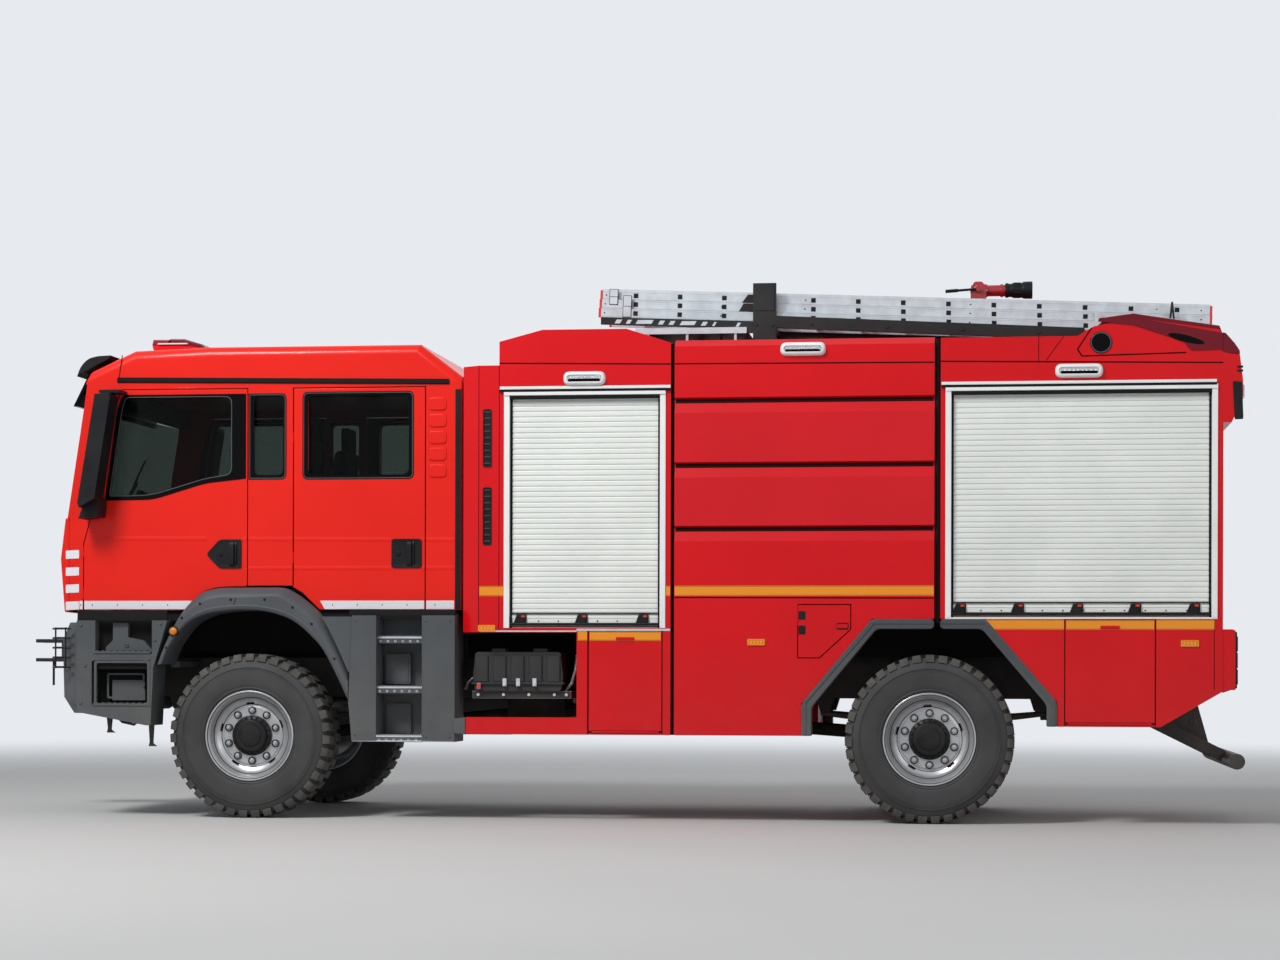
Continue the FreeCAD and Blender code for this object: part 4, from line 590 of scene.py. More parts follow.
# Nuts with dark guard rings
def wheelNuts(bm, centre, facing):
    ring = wheelSizes["nutCircle"]
    for c, s in circle(wheelSizes["nuts"] * 2)[1::2]:
        spot = centre + Vector((c * ring, 0, s * ring)) / 1000
        addTurned(bm, [(84, 27), (96, 26), (98, 22), (92, 20), (84, 20)], spot, facing, 20, True, 1)
        addTurned(bm, [(84, 17), (104, 16), (106, 13), (106, 9), (114, 8), (115, 3)], spot, facing, 6)


# Smooth carcass with moulded rings, two rows of staggered lugs and small ribs round the shoulder
def tyreForm(bm, centre, facing):
    v = wheelSizes
    t = v["halfTyre"]
    tread = v["tyre"] - v["lugDepth"]
    wall = [(150, 300), (158, 303), (166, 309), (170, 318), (168, 324), (172, 332), (177, 352), (t - 1, 384),
            (t, 412), (t - 1, 436), (t - 3, 450), (t + 0.5, 453), (t, 457), (t - 6, 462), (t - 12, 486),
            (t - 22, 506), (t - 40, tread - 3), (t - 80, tread), (0, tread + 1)]
    addTurned(bm, wall + [(-a, b) for a, b in wall[-2::-1]] + [(-150, 296), (150, 296)], centre, facing, 136,
              True)
    for row in (-1, 1):
        for k in range(v["lugs"]):
            turn = Matrix.Rotation(-2 * math.pi * k / v["lugs"], 3, "Y")
            wide = k % 2 * 5
            top = v["tyre"] - 0.4
            outline = [(7, tread - 6), (t - 34, tread - 16), (t - 22 - wide, 496), (t - 8 - wide / 2, 500),
                       (t - 10, 512), (t - 19, top - 9), (t - 27, top - 1.5), (t - 34, top), (7, top)]
            ends = []
            for reach in (-v["lugLength"] / 2, v["lugLength"] / 2):
                ends.append([bm.verts.new(centre + turn @ Vector((
                    reach * (0.9 if radius > tread + 4 else 1) + (1 - out / t) * 16 * row,
                    facing * row * out, radius)) / 1000) for out, radius in outline])
            joinRings(bm, ends, 1)
    for k in range(v["shoulderRibs"]):
        turn = Matrix.Rotation(-2 * math.pi * k / v["shoulderRibs"], 3, "Y")
        joinRings(bm, [[bm.verts.new(centre + turn @ Vector((x, facing * out, z)) / 1000)
                        for x, z in rectangle((-wide, wide), (432, 448))]
                       for wide, out in ((3, t - 3), (1.8, t + 1))], caps=(-1,))


# The rim's groove rings are painted shade
wheelParts = (("rim", rimSkin, "rimSilver", "rim", 40), ("rimGrooveShadeRings", rimGrooveShade, "springSteel", "rim", 32),
              ("handHoles", handHoles, "seam", "rim", 32), ("hub", hubCap, "hubBlack", "iron", 35),
              ("nuts", wheelNuts, ["rimSilver", "hubBlack"], "rim", 30),
              ("tyre", tyreForm, ["tyreWall", "tyreTread"], "tyre", 38))
for end, x in (("front", 0), ("rear", layout["wheelbase"])):
    for hand, facing in (("left", -1), ("right", 1)):
        body = f"wheel_{end}_{hand}"
        for kind, build, material, slot, smooth in wheelParts:
            bm = bmesh.new()
            build(bm, place(x, facing * layout["track"], layout["hub"]), facing)
            piece = finishPiece(kind + end.title() + hand.title(), bm, material, body, smooth)
            if kind == "rim":
                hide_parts(body)
            if kind == "tyre":
                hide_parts(f"tyre_{end}_{hand}")
print("wheels ready")

# Chassis and running gear: CAD shapes with worked edges

for node, width, material in (("chassis_frame", 4, "frameBlack"), ("powertrain", 6, "castIron"),
                              ("front_axle", 5, "castIron"), ("rear_axle", 5, "castIron"),
                              ("leaf_springs", 3, "springSteel"), ("knuckle_left", 3, "castIron"),
                              ("knuckle_right", 3, "castIron"), ("fuel_tank", 12, "aluminium"),
                              ("underrun_guard", 3, "frameBlack"), ("monitor_base", 2, "monitorRed"),
                              ("front_bumper", 7, "greyPlastic"), ("shutter_rails", 2, "railWhite"),
                              ("tank_hatch", 2, "bodyRed"), ("sun_visor", 5, "blackGloss"),
                              ("dashboard", 8, "blackPlastic")):
    dressed(node, width, material)
for hand in ("left", "right"):
    for node in (f"front_flap_{hand}", f"rear_flap_{hand}"):
        dressed(node, 3, "bodyRed")
dressed("arch_trims", 7, "greyPlastic", corners=(26, 700))
print("running gear ready")

# Cab

# The cab's lining and the doors' inner sides are black, their skins red
def cabPick(point, normal):
    inside = abs(point.y) < 1058 and point.z < 2900 and -1262 < point.x < 1405
    return int(inside or (abs(point.y) < 1112 and abs(normal.y) < 0.5 and -1200 < point.x < 1180))


def doorPick(point, normal):
    return int(not 1062 <= abs(point.y) <= 1127)


dressed("cab_shell", 7, ["cabRed", "blackPlastic"], pick=cabPick)
dressed("cab_roof", 14, "cabRed", segments=3, angle=12)
dressed("front_panel", 10, ["cabRed", "blackPlastic"],
        pick=lambda p, n: int(abs(p.y) < 622 and 1436 < p.z < 1904 and -0.6 < n.x < 0.9))
for hand in ("left", "right"):
    for end in ("front", "rear"):
        dressed(f"{end}_door_{hand}", 5, ["cabRed", "blackPlastic"], pick=doorPick)
        bare(f"{end}_door_glass_{hand}", "windowGlass")
bare("cab_glass", "windowGlass")
print("cab shell ready")

# Body modules
for node in ("locker_front", "locker_rear"):
    dressed(node, 4, "bodyRed")
dressed("tank_body", 3, ["bodyRed", "bandRed"], pick=lambda p, n: int(abs(p.y) > 1200 and 1830 < p.z < 2780),
        angle=9, smooth=9)
dressed("ladder_rack", 3, "frameBlack")
dressed("walkway", 1, ["frameBlack", "treadPlate"], pick=lambda p, n: int(p.z > 3230 and n.z > 0.7))
dressed("crew_steps", 6, ["greyPlastic", "treadPlate"],
        pick=lambda p, n: int(868 < p.x < 1170 and abs(p.y) > 1004
                              and any(z - 9 < p.z < z + 29 for z in (520, 842, 1172))))
print("body ready")

# Plates laid on the sides; the left side is drawn and mirrored

def sidePlate(name, outline, near, far, material, body="chassis", pair="same", bevel=0.8):
    return make(name, lambda bm: addPrism(bm, "side", outline, -far, -near), material, body, pair,
                bevel)


def sideRing(name, outer, inner, near, far, material, body="chassis", pair="same", bevel=0.8):
    return make(name, lambda bm: addRing(bm, "side", outer, inner, -far, -near), material, body, pair,
                bevel)


# Cab trim

windowTrim = {"skin": 1120, "proud": 2.4, "corner": 48}


def buildWindowTrim():
    skin, far, corner = windowTrim["skin"], windowTrim["skin"] + windowTrim["proud"], windowTrim["corner"]
    frontOuter = rounded([(-1026, 2120), (-690, 2125), (-330, 2232), (-50, 2262), (-50, 2830), (-902, 2830),
                          (-940, 2738)], [30, 60, 40, 4, 4, 30, 40])
    frontInner = rounded([(-994, 2150), (-704, 2155), (-330, 2266), (-150, 2292), (-150, 2813), (-881, 2813),
                          (-906, 2735)], [24, 90, 60, corner, corner, 30, 60])
    sideRing("frontDoorBorder", frontOuter, frontInner, skin, far, "blackGloss", "front_door_left",
             pair="bodies")
    rearOuter = softBox((336, 1092), (2254, 2838), 40, 8)
    rearInner = softBox((374, 1058), (2284, 2810), corner, 8)
    sideRing("rearDoorBorder", rearOuter, rearInner, skin, far, "blackGloss", "rear_door_left", pair="bodies")
    quarterOuter = rounded(rectangle((-33, 226), (2256, 2830)), [4, 40, 40, 4], 8)
    quarterInner = rounded(rectangle((6, 204), (2286, 2812)), corner * 0.8, 8)
    sideRing("quarterBorder", quarterOuter, quarterInner, skin, far, "blackGloss", "cab")
    # Thin grey line of the bonded glass along each border
    sideRing("rearDoorGlassLine", softBox((342, 1086), (2260, 2832), 35, 8),
             softBox((347, 1081), (2265, 2827), 31, 8), skin - 1, far + 0.5, "greyPlastic", "rear_door_left",
             pair="bodies", bevel=0.4)
    sideRing("quarterGlassLine", rounded(rectangle((-26, 220), (2262, 2824)), [4, 34, 34, 4], 8),
             rounded(rectangle((-22, 215), (2267, 2819)), [3, 30, 30, 3], 8), skin - 1, far + 0.5,
             "greyPlastic", "cab", bevel=0.4)
    sideRing("frontDoorGlassLine", rounded([(-997, 2147), (-703, 2152), (-329, 2263), (-147, 2289),
                                            (-147, 2816), (-883, 2816), (-909, 2736)],
                                           [26, 90, 60, corner + 3, corner + 3, 30, 60]),
             rounded([(-991, 2152), (-704, 2157), (-330, 2268), (-152, 2294), (-152, 2811), (-880, 2811),
                      (-904, 2735)], [22, 90, 60, corner - 1, corner - 1, 28, 58]), skin - 1, far + 0.5,
             "greyPlastic", "front_door_left", pair="bodies", bevel=0.4)


buildWindowTrim()

gutter = {"front": (-938, 2931), "rear": (1330, 2897), "height": 36, "depth": 11}


# Rain rail along the cab sides, its cross-section with a lip
def buildGutter(bm):
    skin, tall, deep = layout["cabSide"], gutter["height"], gutter["depth"]
    section = [(-2, -0.5), (deep * 0.5, -0.5), (deep, -0.3), (deep, 0.28), (deep * 0.72, 0.34),
               (deep * 0.6, 0.05), (deep * 0.3, 0.05), (deep * 0.25, 0.5), (-2, 0.5)]
    joinRings(bm, [[bm.verts.new(place(x, -skin - out, z + up * tall)) for out, up in section]
                   for x, z in (gutter["front"], gutter["rear"])])


make("rainRail", buildGutter, "rubber", "cab", bevel=1)
sidePlate("roofFrontSeam", [(-934, 2925), (-928, 2925), (-903, 3098), (-909, 3098)], 1119.6, 1120.8, "seam",
          "cab", bevel=0)

creases = {"upper": (1866, 1848), "lower": 1662, "rise": 2.6, "spread": 22}


# Pressed lines along the cab sides: a soft ridge with a sloping shoulder
def addCrease(bm, x0, x1, z0, z1):
    skin, rise, spread = layout["cabSide"], creases["rise"], creases["spread"]
    section = [(-1, -spread), (rise * 0.35, -spread * 0.55), (rise * 0.9, -spread * 0.2), (rise, 0),
               (rise * 0.8, spread * 0.25), (rise * 0.2, spread * 0.6), (-1, spread)]
    ends = []
    for x, z in ((x0, z0), (x1, z1)):
        ends.append([bm.verts.new(place(x, -(skin + out), z + up)) for out, up in section])
    for i in range(len(section) - 1):
        bm.faces.new((ends[0][i], ends[0][i + 1], ends[1][i + 1], ends[1][i]))
    bm.faces.new(ends[0])
    bm.faces.new(ends[1])


def creaseHeight(x):
    high, low = creases["upper"]
    return high - (high - low) * (x + 1085) / 2457


def buildCreases(bm, spans, withLower=True):
    for x0, x1 in spans:
        addCrease(bm, x0, x1, creaseHeight(x0), creaseHeight(x1))
        if withLower:
            addCrease(bm, x0, x1, creases["lower"], creases["lower"])


make("frontDoorCreases", lambda bm: buildCreases(bm, [(-1085, -320), (-76, -46)], False), "cabRed",
     "front_door_left", pair="bodies")
make("rearDoorCreases", lambda bm: buildCreases(bm, [(280, 940), (1148, 1164)]), "cabRed", "rear_door_left",
     pair="bodies")
make("cabSideCreases", lambda bm: buildCreases(bm, [(-32, 268), (1178, 1368)]), "cabRed", "cab")

# Cups of the door handles, each with a lever and a lock
doorHandles = {"front": (-322, -230, -80), "rear": (943, 1147), "low": 1662, "middle": 1757, "high": 1856}


def buildHandle(name, outline, body, leverX, lockX):
    skin = layout["cabSide"]
    cup = rounded(outline, [26, 22, 14, 14, 22] if len(outline) == 5 else 24, 5)
    centre = sum((Vector(p) for p in outline), Vector((0, 0))) / len(outline)

    def build(bm):
        joinRings(bm, [[bm.verts.new(place(x, -skin - out, z)) for x, z in shrunk(cup, centre, scale)]
                       for scale, out in ((1, 0), (1, 7), (0.84, 7.5), (0.70, 2.5))])
        soften(bm, 1.2)
        for x0, x1, out in ((leverX, leverX + 30, 24), (leverX + 38, leverX + 46, 15)):
            bar = bmesh.new()
            addPrism(bar, "cross",
                     [(-skin - reach, z) for reach, z in ((2, 1674), (out * 0.7, 1684), (out, 1706),
                                                          (out, 1812), (out * 0.7, 1834), (2, 1844))], x0, x1)
            soften(bar, 2.5)
            mergeInto(bm, bar)
        addTurned(bm, [(0, 15), (9, 15), (11, 12), (11, 8), (9, 7), (9, 1)], place(lockX, -skin, 1760), -1,
                  20)

    make(name, build, "blackPlastic", body, pair="bodies")


(tip, bend, back), low, high = doorHandles["front"], doorHandles["low"], doorHandles["high"]
buildHandle("frontHandle", [(tip, doorHandles["middle"]), (bend, low), (back, low), (back, high),
                            (bend, high)], "front_door_left", -160, -225)
buildHandle("rearHandle", rectangle(doorHandles["rear"], (low, high)), "rear_door_left", 1050, 990)

# Reflecting stripe with small marks at the foot of the cab, and the striped front corner
stripe = {"low": 1390, "high": 1446, "out": 1121.2, "markPitch": 190}


def stripeSpans(bm, spans):
    low, high = stripe["low"], stripe["high"]
    for x0, x1, x2, x3 in spans:
        addPrism(bm, "side", [(x0, low), (x1, low), (x3, high), (x2, high)], -stripe["out"],
                 -layout["cabSide"] + 0.5)
        count = max(1, round((x1 - x0) / stripe["markPitch"]))
        for k in range(count):
            left = x0 + (x1 - x0) * (k + 0.3) / count
            addPrism(bm, "side", rectangle((left, left + 5), (low + 22, low + 34)), -stripe["out"] - 0.3,
                     -layout["cabSide"], 1)


for name, spans, body, pair in (
        ("frontDoorStripe", [(-1166, -468, -1166, -420)], "front_door_left", "bodies"),
        ("rearDoorStripe", [(490, 1164, 458, 1164)], "rear_door_left", "bodies"),
        ("cabStripe", [(-1200, -1178, -1200, -1178), (1178, 1366, 1178, 1366)], "cab", "same")):
    make(name, lambda bm, spans=spans: stripeSpans(bm, spans), ["tapeWhite", "seam"], body, pair=pair)

cornerBands = {"low": 1388, "count": 4, "height": 56, "pitch": 115, "front": -1296, "rear": -1204}


def buildCornerBands(bm):
    front, rear = cornerBands["front"], cornerBands["rear"]
    for k in range(cornerBands["count"]):
        low = cornerBands["low"] + k * cornerBands["pitch"]
        high = low + cornerBands["height"]
        addPrism(bm, "side", rounded([(front, low - 4), (rear, low), (rear, high), (front, high - 4)], 5, 3),
                 -1121.4, -1119.5)


make("cornerBands", buildCornerBands, "tapeWhite", "cab", bevel=0.3)
sidePlate("cabRearEdge", softBox((1372, 1411), (1388, 2846), 6, 3), 1119.5, 1123, "blackPlastic", "cab")
sidePlate("cabSeam", rectangle((1171.2, 1174.8), (2868, 2900)), 1119.6, 1120.6, "seam", "cab",
          bevel=0)

bulges = {"xs": (1188, 1318), "low": 2250, "high": 2806, "count": 5, "rise": 9}


# Soft pressed bulges on the panel behind the rear door
def buildBulges(bm):
    step = (bulges["high"] - bulges["low"]) / bulges["count"]
    for k in range(bulges["count"]):
        low = bulges["low"] + step * k + 7
        outline = softBox(bulges["xs"], (low, low + step - 14), 30, 6)
        centre = Vector((sum(bulges["xs"]) / 2, low + step / 2 - 7))
        joinRings(bm, [[bm.verts.new(place(x, -layout["cabSide"] - bulges["rise"] * out, z))
                        for x, z in shrunk(outline, centre, scale)]
                       for scale, out in ((1.0, -0.5), (0.93, 0.28), (0.84, 0.75), (0.72, 1.0))], caps=(-1,))


make("pressedBulges", buildBulges, "cabRed", "cab", smooth=50)


def buildRoofMarks(bm):
    for k in range(3):
        x = -514 + 42 * k
        addPrism(bm, "side", softBox((x, x + 30), (2868, 2880), 5, 3), -1123, -1119.5)


make("roofMarks", buildRoofMarks, "labelRed", "cab", bevel=0.4)
print("cab sides trimmed")

# Seats: frames, and crowned cushions in woven cloth

seatSizes = {"deck": 1605, "apart": 560, "lean": 0.19, "crown": 16, "cuts": 9, "fill": 0.6,
             "bench": (-998, 998)}


def buildSeatFrames(bm):
    deck = seatSizes["deck"]
    hinge = rounded([(70, deck + 240), (190, deck + 240), (208, deck + 330), (90, deck + 330)], 20, 4)
    for y in (-seatSizes["apart"], seatSizes["apart"]):
        addBox(bm, (-298, 118), (y - 178, y + 178), (deck, deck + 90))
        addPrism(bm, "side", [(-250, deck + 90), (80, deck + 90), (110, deck + 142), (-280, deck + 142)],
                 y - 120, y + 120)
        for post in (y - 70, y + 70):
            addBar(bm, (228, post, deck + 940), (250, post, deck + 1000), 7, 10)
        for near in (y - 256, y + 243):
            addPrism(bm, "side", hinge, near, near + 13)
    addBox(bm, (822, 1330), (-948, 948), (1431, 1810))


frames = make("seatFrames", buildSeatFrames, "blackPlastic", "cab", pair=None, bevel=3)[0]
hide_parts("seats")


# One stuffed cushion: a box whose faces bulge and whose rim is drawn in along a welt
def cushion(name, xs, ys, zs, lean=0.0):
    crown = seatSizes["crown"]
    bm = bmesh.new()
    bmesh.ops.create_cube(bm, size=2)
    bmesh.ops.subdivide_edges(bm, edges=bm.edges, cuts=seatSizes["cuts"], use_grid_fill=True)
    half = [(b - a) / 2 for a, b in (xs, ys, zs)]
    centre = [(a + b) / 2 for a, b in (xs, ys, zs)]
    thin = half.index(min(half))
    for vert in bm.verts:
        c = list(vert.co)
        others = [k for k in range(3) if k != thin]
        swell = (1 - abs(c[others[0]]) ** 4) * (1 - abs(c[others[1]]) ** 4)
        channel = 0.82 + 0.18 * abs(math.sin(math.pi * 2.0 * c[others[1]]))
        out = [half[k] * c[k] * (1 - (0.10 if k != thin else 0.0) * abs(c[thin]) ** 6) for k in range(3)]
        out[thin] = (half[thin] - crown * 0.6) * c[thin] + crown * 0.6 * swell * channel * c[thin]
        x, y, z = (centre[k] + out[k] for k in range(3))
        vert.co = place(x + lean * (z - zs[0]), y, z)
    piece = finishPiece(name, bm, "cloth", "cab", 60)
    smoother = piece.modifiers.new("softSurface", "SUBSURF")
    smoother.levels = smoother.render_levels = 1


deck = seatSizes["deck"]
for tag, y in (("Left", -seatSizes["apart"]), ("Right", seatSizes["apart"])):
    cushion("seatCushion" + tag, (-398, 158), (y - 248, y + 248), (deck + 142, deck + 262))
    cushion("seatBack" + tag, (62, 176), (y - 238, y + 238), (deck + 256, deck + 958), seatSizes["lean"])
    cushion("headRest" + tag, (216, 294), (y - 128, y + 128), (deck + 952, deck + 1128))
cushion("benchCushion", (782, 1330), seatSizes["bench"], (1812, 1912))
cushion("benchBack", (1226, 1350), seatSizes["bench"], (1902, 2478))
for k, y in enumerate((-680, 0, 680)):
    cushion(f"benchRest{k}", (1236, 1332), (y - 128, y + 128), (2472, 2658))
print("seats ready")

# Visor brackets, wipers and front grille
grille = {"half": 600, "low": 1436, "count": 5, "pitch": 100, "bars": 3}


def buildGrille(bm):
    half = grille["half"]
    for k in range(grille["count"]):
        for n in range(grille["bars"]):
            z = grille["low"] + k * grille["pitch"] + 12 + n * 20
            addPrism(bm, "cross", softBox((-half, half), (z, z + 9), 3, 3), -1342, -1328)


make("grilleBars", buildGrille, "blackPlastic", "cab", pair=None, bevel=1)


def buildWipers(bm):
    for y in (-520, 160):
        addBar(bm, (-1352, y, 2052), (-1366, y, 2052), 20, 20)
        addBar(bm, (-1362, y, 2052), (-1310, y + 330, 2350), 9, 12)
        addBar(bm, (-1336, y + 60, 2140), (-1284, y + 430, 2520), 7, 10)


make("wipers", buildWipers, "blackPlastic", "cab", pair=None)


def buildVisorArms(bm):
    for y in (-800, -280, 280, 800):
        addPrism(bm, "side", rounded([(-1180, 2890), (-1150, 2880), (-1060, 3010), (-1078, 3052)], 8, 3),
                 y - 9, y + 9)


make("visorArms", buildVisorArms, "blackPlastic", "cab", pair=None, bevel=1.5)


def buildVisorWrap(bm):
    addPrism(bm, "side", rounded([(-1262, 2968), (-1236, 3040), (-1180, 3094), (-1110, 3108), (-1020, 3112),
                                  (-1050, 3084), (-1140, 3040), (-1232, 2992)], [8, 40, 40, 20, 8, 12, 20, 6],
                                 5), -1004, 1004)
    soften(bm, 6, 3)
    for y in (-820, -410, 0, 410, 820):
        addPrism(bm, "side", rounded([(-1242, 3022), (-1180, 3088), (-1112, 3104), (-1112, 3112),
                                      (-1190, 3102), (-1252, 3030)], 5, 3), y - 14, y + 14)


make("visorWrap", buildVisorWrap, "blackPlastic", "cab", pair=None, smooth=40)

# Head lamps: a housing with two reflectors behind a ribbed lens
headLamps = {"ys": (-1060, -730), "zs": (900, 1110), "front": -1272, "back": -1212, "reflector": 66,
             "ribs": 12}


def buildHeadLamps(bm):
    (y0, y1), (z0, z1) = headLamps["ys"], headLamps["zs"]
    front, back = headLamps["front"], headLamps["back"]
    corners = softBox((y0 + 2, y1 - 2), (z0 + 2, z1 - 2), 26)
    middle = Vector(((y0 + y1) / 2, (z0 + z1) / 2))
    addRing(bm, "cross", corners, shrunk(corners, middle, 0.9), front, back - 2)
    addPrism(bm, "cross", corners, back - 6, back)
    radius = headLamps["reflector"]
    for y in (-975, -822):
        addTurnedX(bm, [(front + 50, 8), (front + 46, radius * 0.5), (front + 30, radius * 0.85),
                        (front + 16, radius), (front + 14, radius + 6), (front + 20, radius + 6),
                        (front + 52, 14)], place(0, y, middle.y), 32, 1)


def buildHeadLens(bm):
    (y0, y1), (z0, z1), front = headLamps["ys"], headLamps["zs"], headLamps["front"]
    addPrism(bm, "cross", softBox((y0 + 18, y1 - 18), (z0 + 14, z1 - 14), 22), front + 2, front + 7)
    for k in range(headLamps["ribs"]):
        y = y0 + 34 + k * 24
        addPrism(bm, "cross", rectangle((y, y + 5), (z0 + 20, z1 - 20)), front + 7, front + 9)


headHousing = make("headLamps", buildHeadLamps, ["blackPlastic", "chrome"], smooth=40)[0]
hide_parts("front_lamps")
make("headLenses", buildHeadLens, "clearLens", bevel=1)

# Light bar: red base, bright lens at the front, a white band, and the deep lens swept back
def buildBarPart(outline, half):
    def build(bm):
        stations = [(-half, 0.72), (-half + 12, 0.9), (-half + 40, 1.0), (half - 40, 1.0), (half - 12, 0.9),
                    (half, 0.72)]
        x, z = sum(p[0] for p in outline) / len(outline), min(p[1] for p in outline)
        joinRings(bm, [[bm.verts.new(place(x + (u - x) * (0.6 + 0.4 * size), y, z + (v - z) * size))
                        for u, v in outline] for y, size in stations])
        soften(bm, 4, 3, 20)
    return build


lightFoot = make("lightBarBase", buildBarPart([(-800, 3136), (-606, 3146), (-590, 3206), (-450, 3184),
                                               (-440, 3194), (-600, 3216), (-828, 3216), (-822, 3190)], 738),
                 "bodyRed", "cab", pair=None)[0]
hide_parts("light_bar")
make("lightBarFront", buildBarPart([(-826, 3214), (-700, 3214), (-700, 3250), (-818, 3252)], 728), "redLens",
     "cab", pair=None)
make("lightBarBand", buildBarPart([(-790, 3213), (-560, 3213), (-560, 3224), (-786, 3225)], 740), "lampWhite",
     "cab", pair=None)
make("lightBarRed", buildBarPart([(-702, 3214), (-600, 3214), (-446, 3190), (-470, 3214), (-600, 3254),
                                  (-702, 3256)], 730), "deepLens", "cab", pair=None)


def buildBarCells(bm):
    for y in range(-690, 600, 118):
        addBox(bm, (-812, -716), (y, y + 96), (3218, 3244))


make("lightBarCells", buildBarCells, "chrome", "cab", pair=None, bevel=6)
print("cab front and roof dressed")

# Body sides

tapes = {"front": (1472, 1537), "rear": (1253, 1318), "out": 1.2}
side = layout["bodySide"]


# A strip of tape with a thin dark line near each edge
def addTape(bm, x0, x1, low, high, slant=0):
    out = side + tapes["out"]
    addPrism(bm, "side", [(x0, low), (x1, low), (x1, high), (x0 + slant, high)], -out, -side + 0.6)
    for level in (low + 3, high - 5):
        addPrism(bm, "side", rectangle((x0 + slant + 2, x1 - 2), (level, level + 2)), -out - 0.3, -side, 1)


def buildTapes(bm):
    for x0, x1, end, slant in ((1560, 1720, "front", 0), (2792, 2821, "front", 0), (2850, 4527, "front", 0),
                               (4886, 5356, "rear", -46), (5938, 6300, "rear", 0)):
        addTape(bm, x0, x1, *tapes[end], slant)


make("yellowTapes", buildTapes, ["tapeYellow", "seam"])
make("frontLipTape", lambda bm: addTape(bm, 2214, 2276, 1180, 1250), ["tapeYellow", "seam"])
for end, spans in (("front", (2292, 2760, 1180, 1240)), ("rear", (5370, 5924, 1253, 1314))):
    make(f"{end}FlapTape", lambda bm, spans=spans: addTape(bm, *spans), ["tapeYellow", "seam"],
         f"{end}_flap_left", pair="bodies")

# Seams between the sheets, laid as thin dark strips; the header lines are drawn 9 mm wide, wider than their
# joints, so they also carry a painted shadow along them
seams = {"width": 4.2, "header": 9,
         "headers": (((1690, 2999), (2821, 2981)), ((2850, 2982), (4528, 2973)), ((4571, 2978), (6353, 2950)),
                     ((2850, 1462), (4528, 1456)), ((5526, 3180), (5437, 3044)), ((5437, 3048), (5466, 3000)),
                     ((5463, 3001), (6120, 3016))),
         "sheets": (((1554, 1237), (1554, 2984)), ((1690, 1237), (1690, 2985)), ((5192, 2970), (5192, 3132)),
                    ((5238, 2975), (5352, 3132)), ((6300, 1322), (6300, 870)), ((5361, 1320), (5361, 636)),
                    ((5934, 1320), (5934, 636)), ((2279, 1250), (2279, 570)), ((2770, 1250), (2770, 570)),
                    ((2207, 1250), (2821, 1252)))}


def addSeam(bm, a, b, width):
    first, last = Vector(a), Vector(b)
    along = (last - first).normalized() * width / 2
    across = Vector((-along.y, along.x))
    addPrism(bm, "side", [tuple(first - across), tuple(last - across), tuple(last + across),
                          tuple(first + across)], -side - 0.7, -side + 0.5)


def buildSeams(bm):
    for kind, width in (("headers", seams["header"]), ("sheets", seams["width"])):
        for a, b in seams[kind]:
            addSeam(bm, a, b, width)


make("sheetSeams", buildSeams, "seam")

ventSlots = {"xs": (1582, 1640), "spans": ((2318, 2699), (1806, 2186)), "ribs": 9}


# Slotted vents in the pillar behind the cab: a raised rim with inclined blades
def buildVents(bm):
    x0, x1 = ventSlots["xs"]
    for low, high in ventSlots["spans"]:
        inner = softBox((x0 + 9, x1 - 9), (low + 9, high - 9), 8)
        addRing(bm, "side", softBox((x0, x1), (low, high), 14), inner, -side - 5, -side + 1)
        addPrism(bm, "side", inner, -side - 1.2, -side + 0.5)
        for k in range(ventSlots["ribs"]):
            z = low + 22 + (high - low - 44) * k / (ventSlots["ribs"] - 1)
            addPrism(bm, "cross", [(-side - 1, z - 6), (-side - 4.5, z - 3), (-side - 4.5, z + 1),
                                   (-side - 1, z + 9)], x0 + 9, x1 - 9)


make("pillarVents", buildVents, "blackPlastic")

# Scene lamps and amber markers in place of the plain CAD boxes
lampSizes = {"proud": 31,
             "scene": ((2115, 2395, 2846, 2940), (3535, 3830, 3024, 3112), (5296, 5600, 2862, 2954)),
             "amber": ((1552, 1240), (3325, 1150), (6090, 1145)), "amberLength": 115, "amberHeight": 42,
             "leds": 8}


# An outline with half-round ends
def capsule(x0, x1, z0, z1, steps=10):
    return softBox((x0, x1), (z0, z1), (z1 - z0) * 0.49, steps)


def buildSceneLamps(bm):
    proud = lampSizes["proud"]
    for x0, x1, z0, z1 in lampSizes["scene"]:
        rings = []
        for grow, out in ((0, -0.5), (-2, 14), (-8, 25), (-18, proud), (-24, proud), (-28, 22)):
            outline = capsule(x0 - grow, x1 + grow, z0 - grow, z1 + grow)
            rings.append([bm.verts.new(place(u, -side - out, v)) for u, v in outline])
        joinRings(bm, rings)


sceneLamps = make("sceneLampHousings", buildSceneLamps, "lampWhite", smooth=40)[0]
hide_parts("body_lamps")


def buildSceneLenses(bm):
    for x0, x1, z0, z1 in lampSizes["scene"]:
        addPrism(bm, "side", capsule(x0 + 27, x1 - 27, z0 + 27, z1 - 27, 6), -side - 28, -side - 21.5)


make("sceneLampLenses", buildSceneLenses, "clearLens", bevel=1.5)


def buildSceneSlots(bm):
    for x0, x1, z0, z1 in lampSizes["scene"]:
        middle = (z0 + z1) / 2
        addPrism(bm, "side", capsule(x0 + 34, x1 - 34, middle - 27, middle - 3, 5), -side - 29.5, -side - 27)


make("sceneLampSlots", buildSceneSlots, "blackGloss", bevel=0.8)


def buildLedRows(bm):
    count = lampSizes["leds"]
    for x0, x1, z0, z1 in lampSizes["scene"]:
        for k in range(count):
            x = x0 + 40 + (x1 - x0 - 80) * (k + 0.5) / count
            addTurned(bm, [(21.5, 9), (23, 9), (24, 4), (24, 1)], place(x, -side, (z0 + z1) / 2), -1, 12)


make("sceneLampLeds", buildLedRows, "chrome")


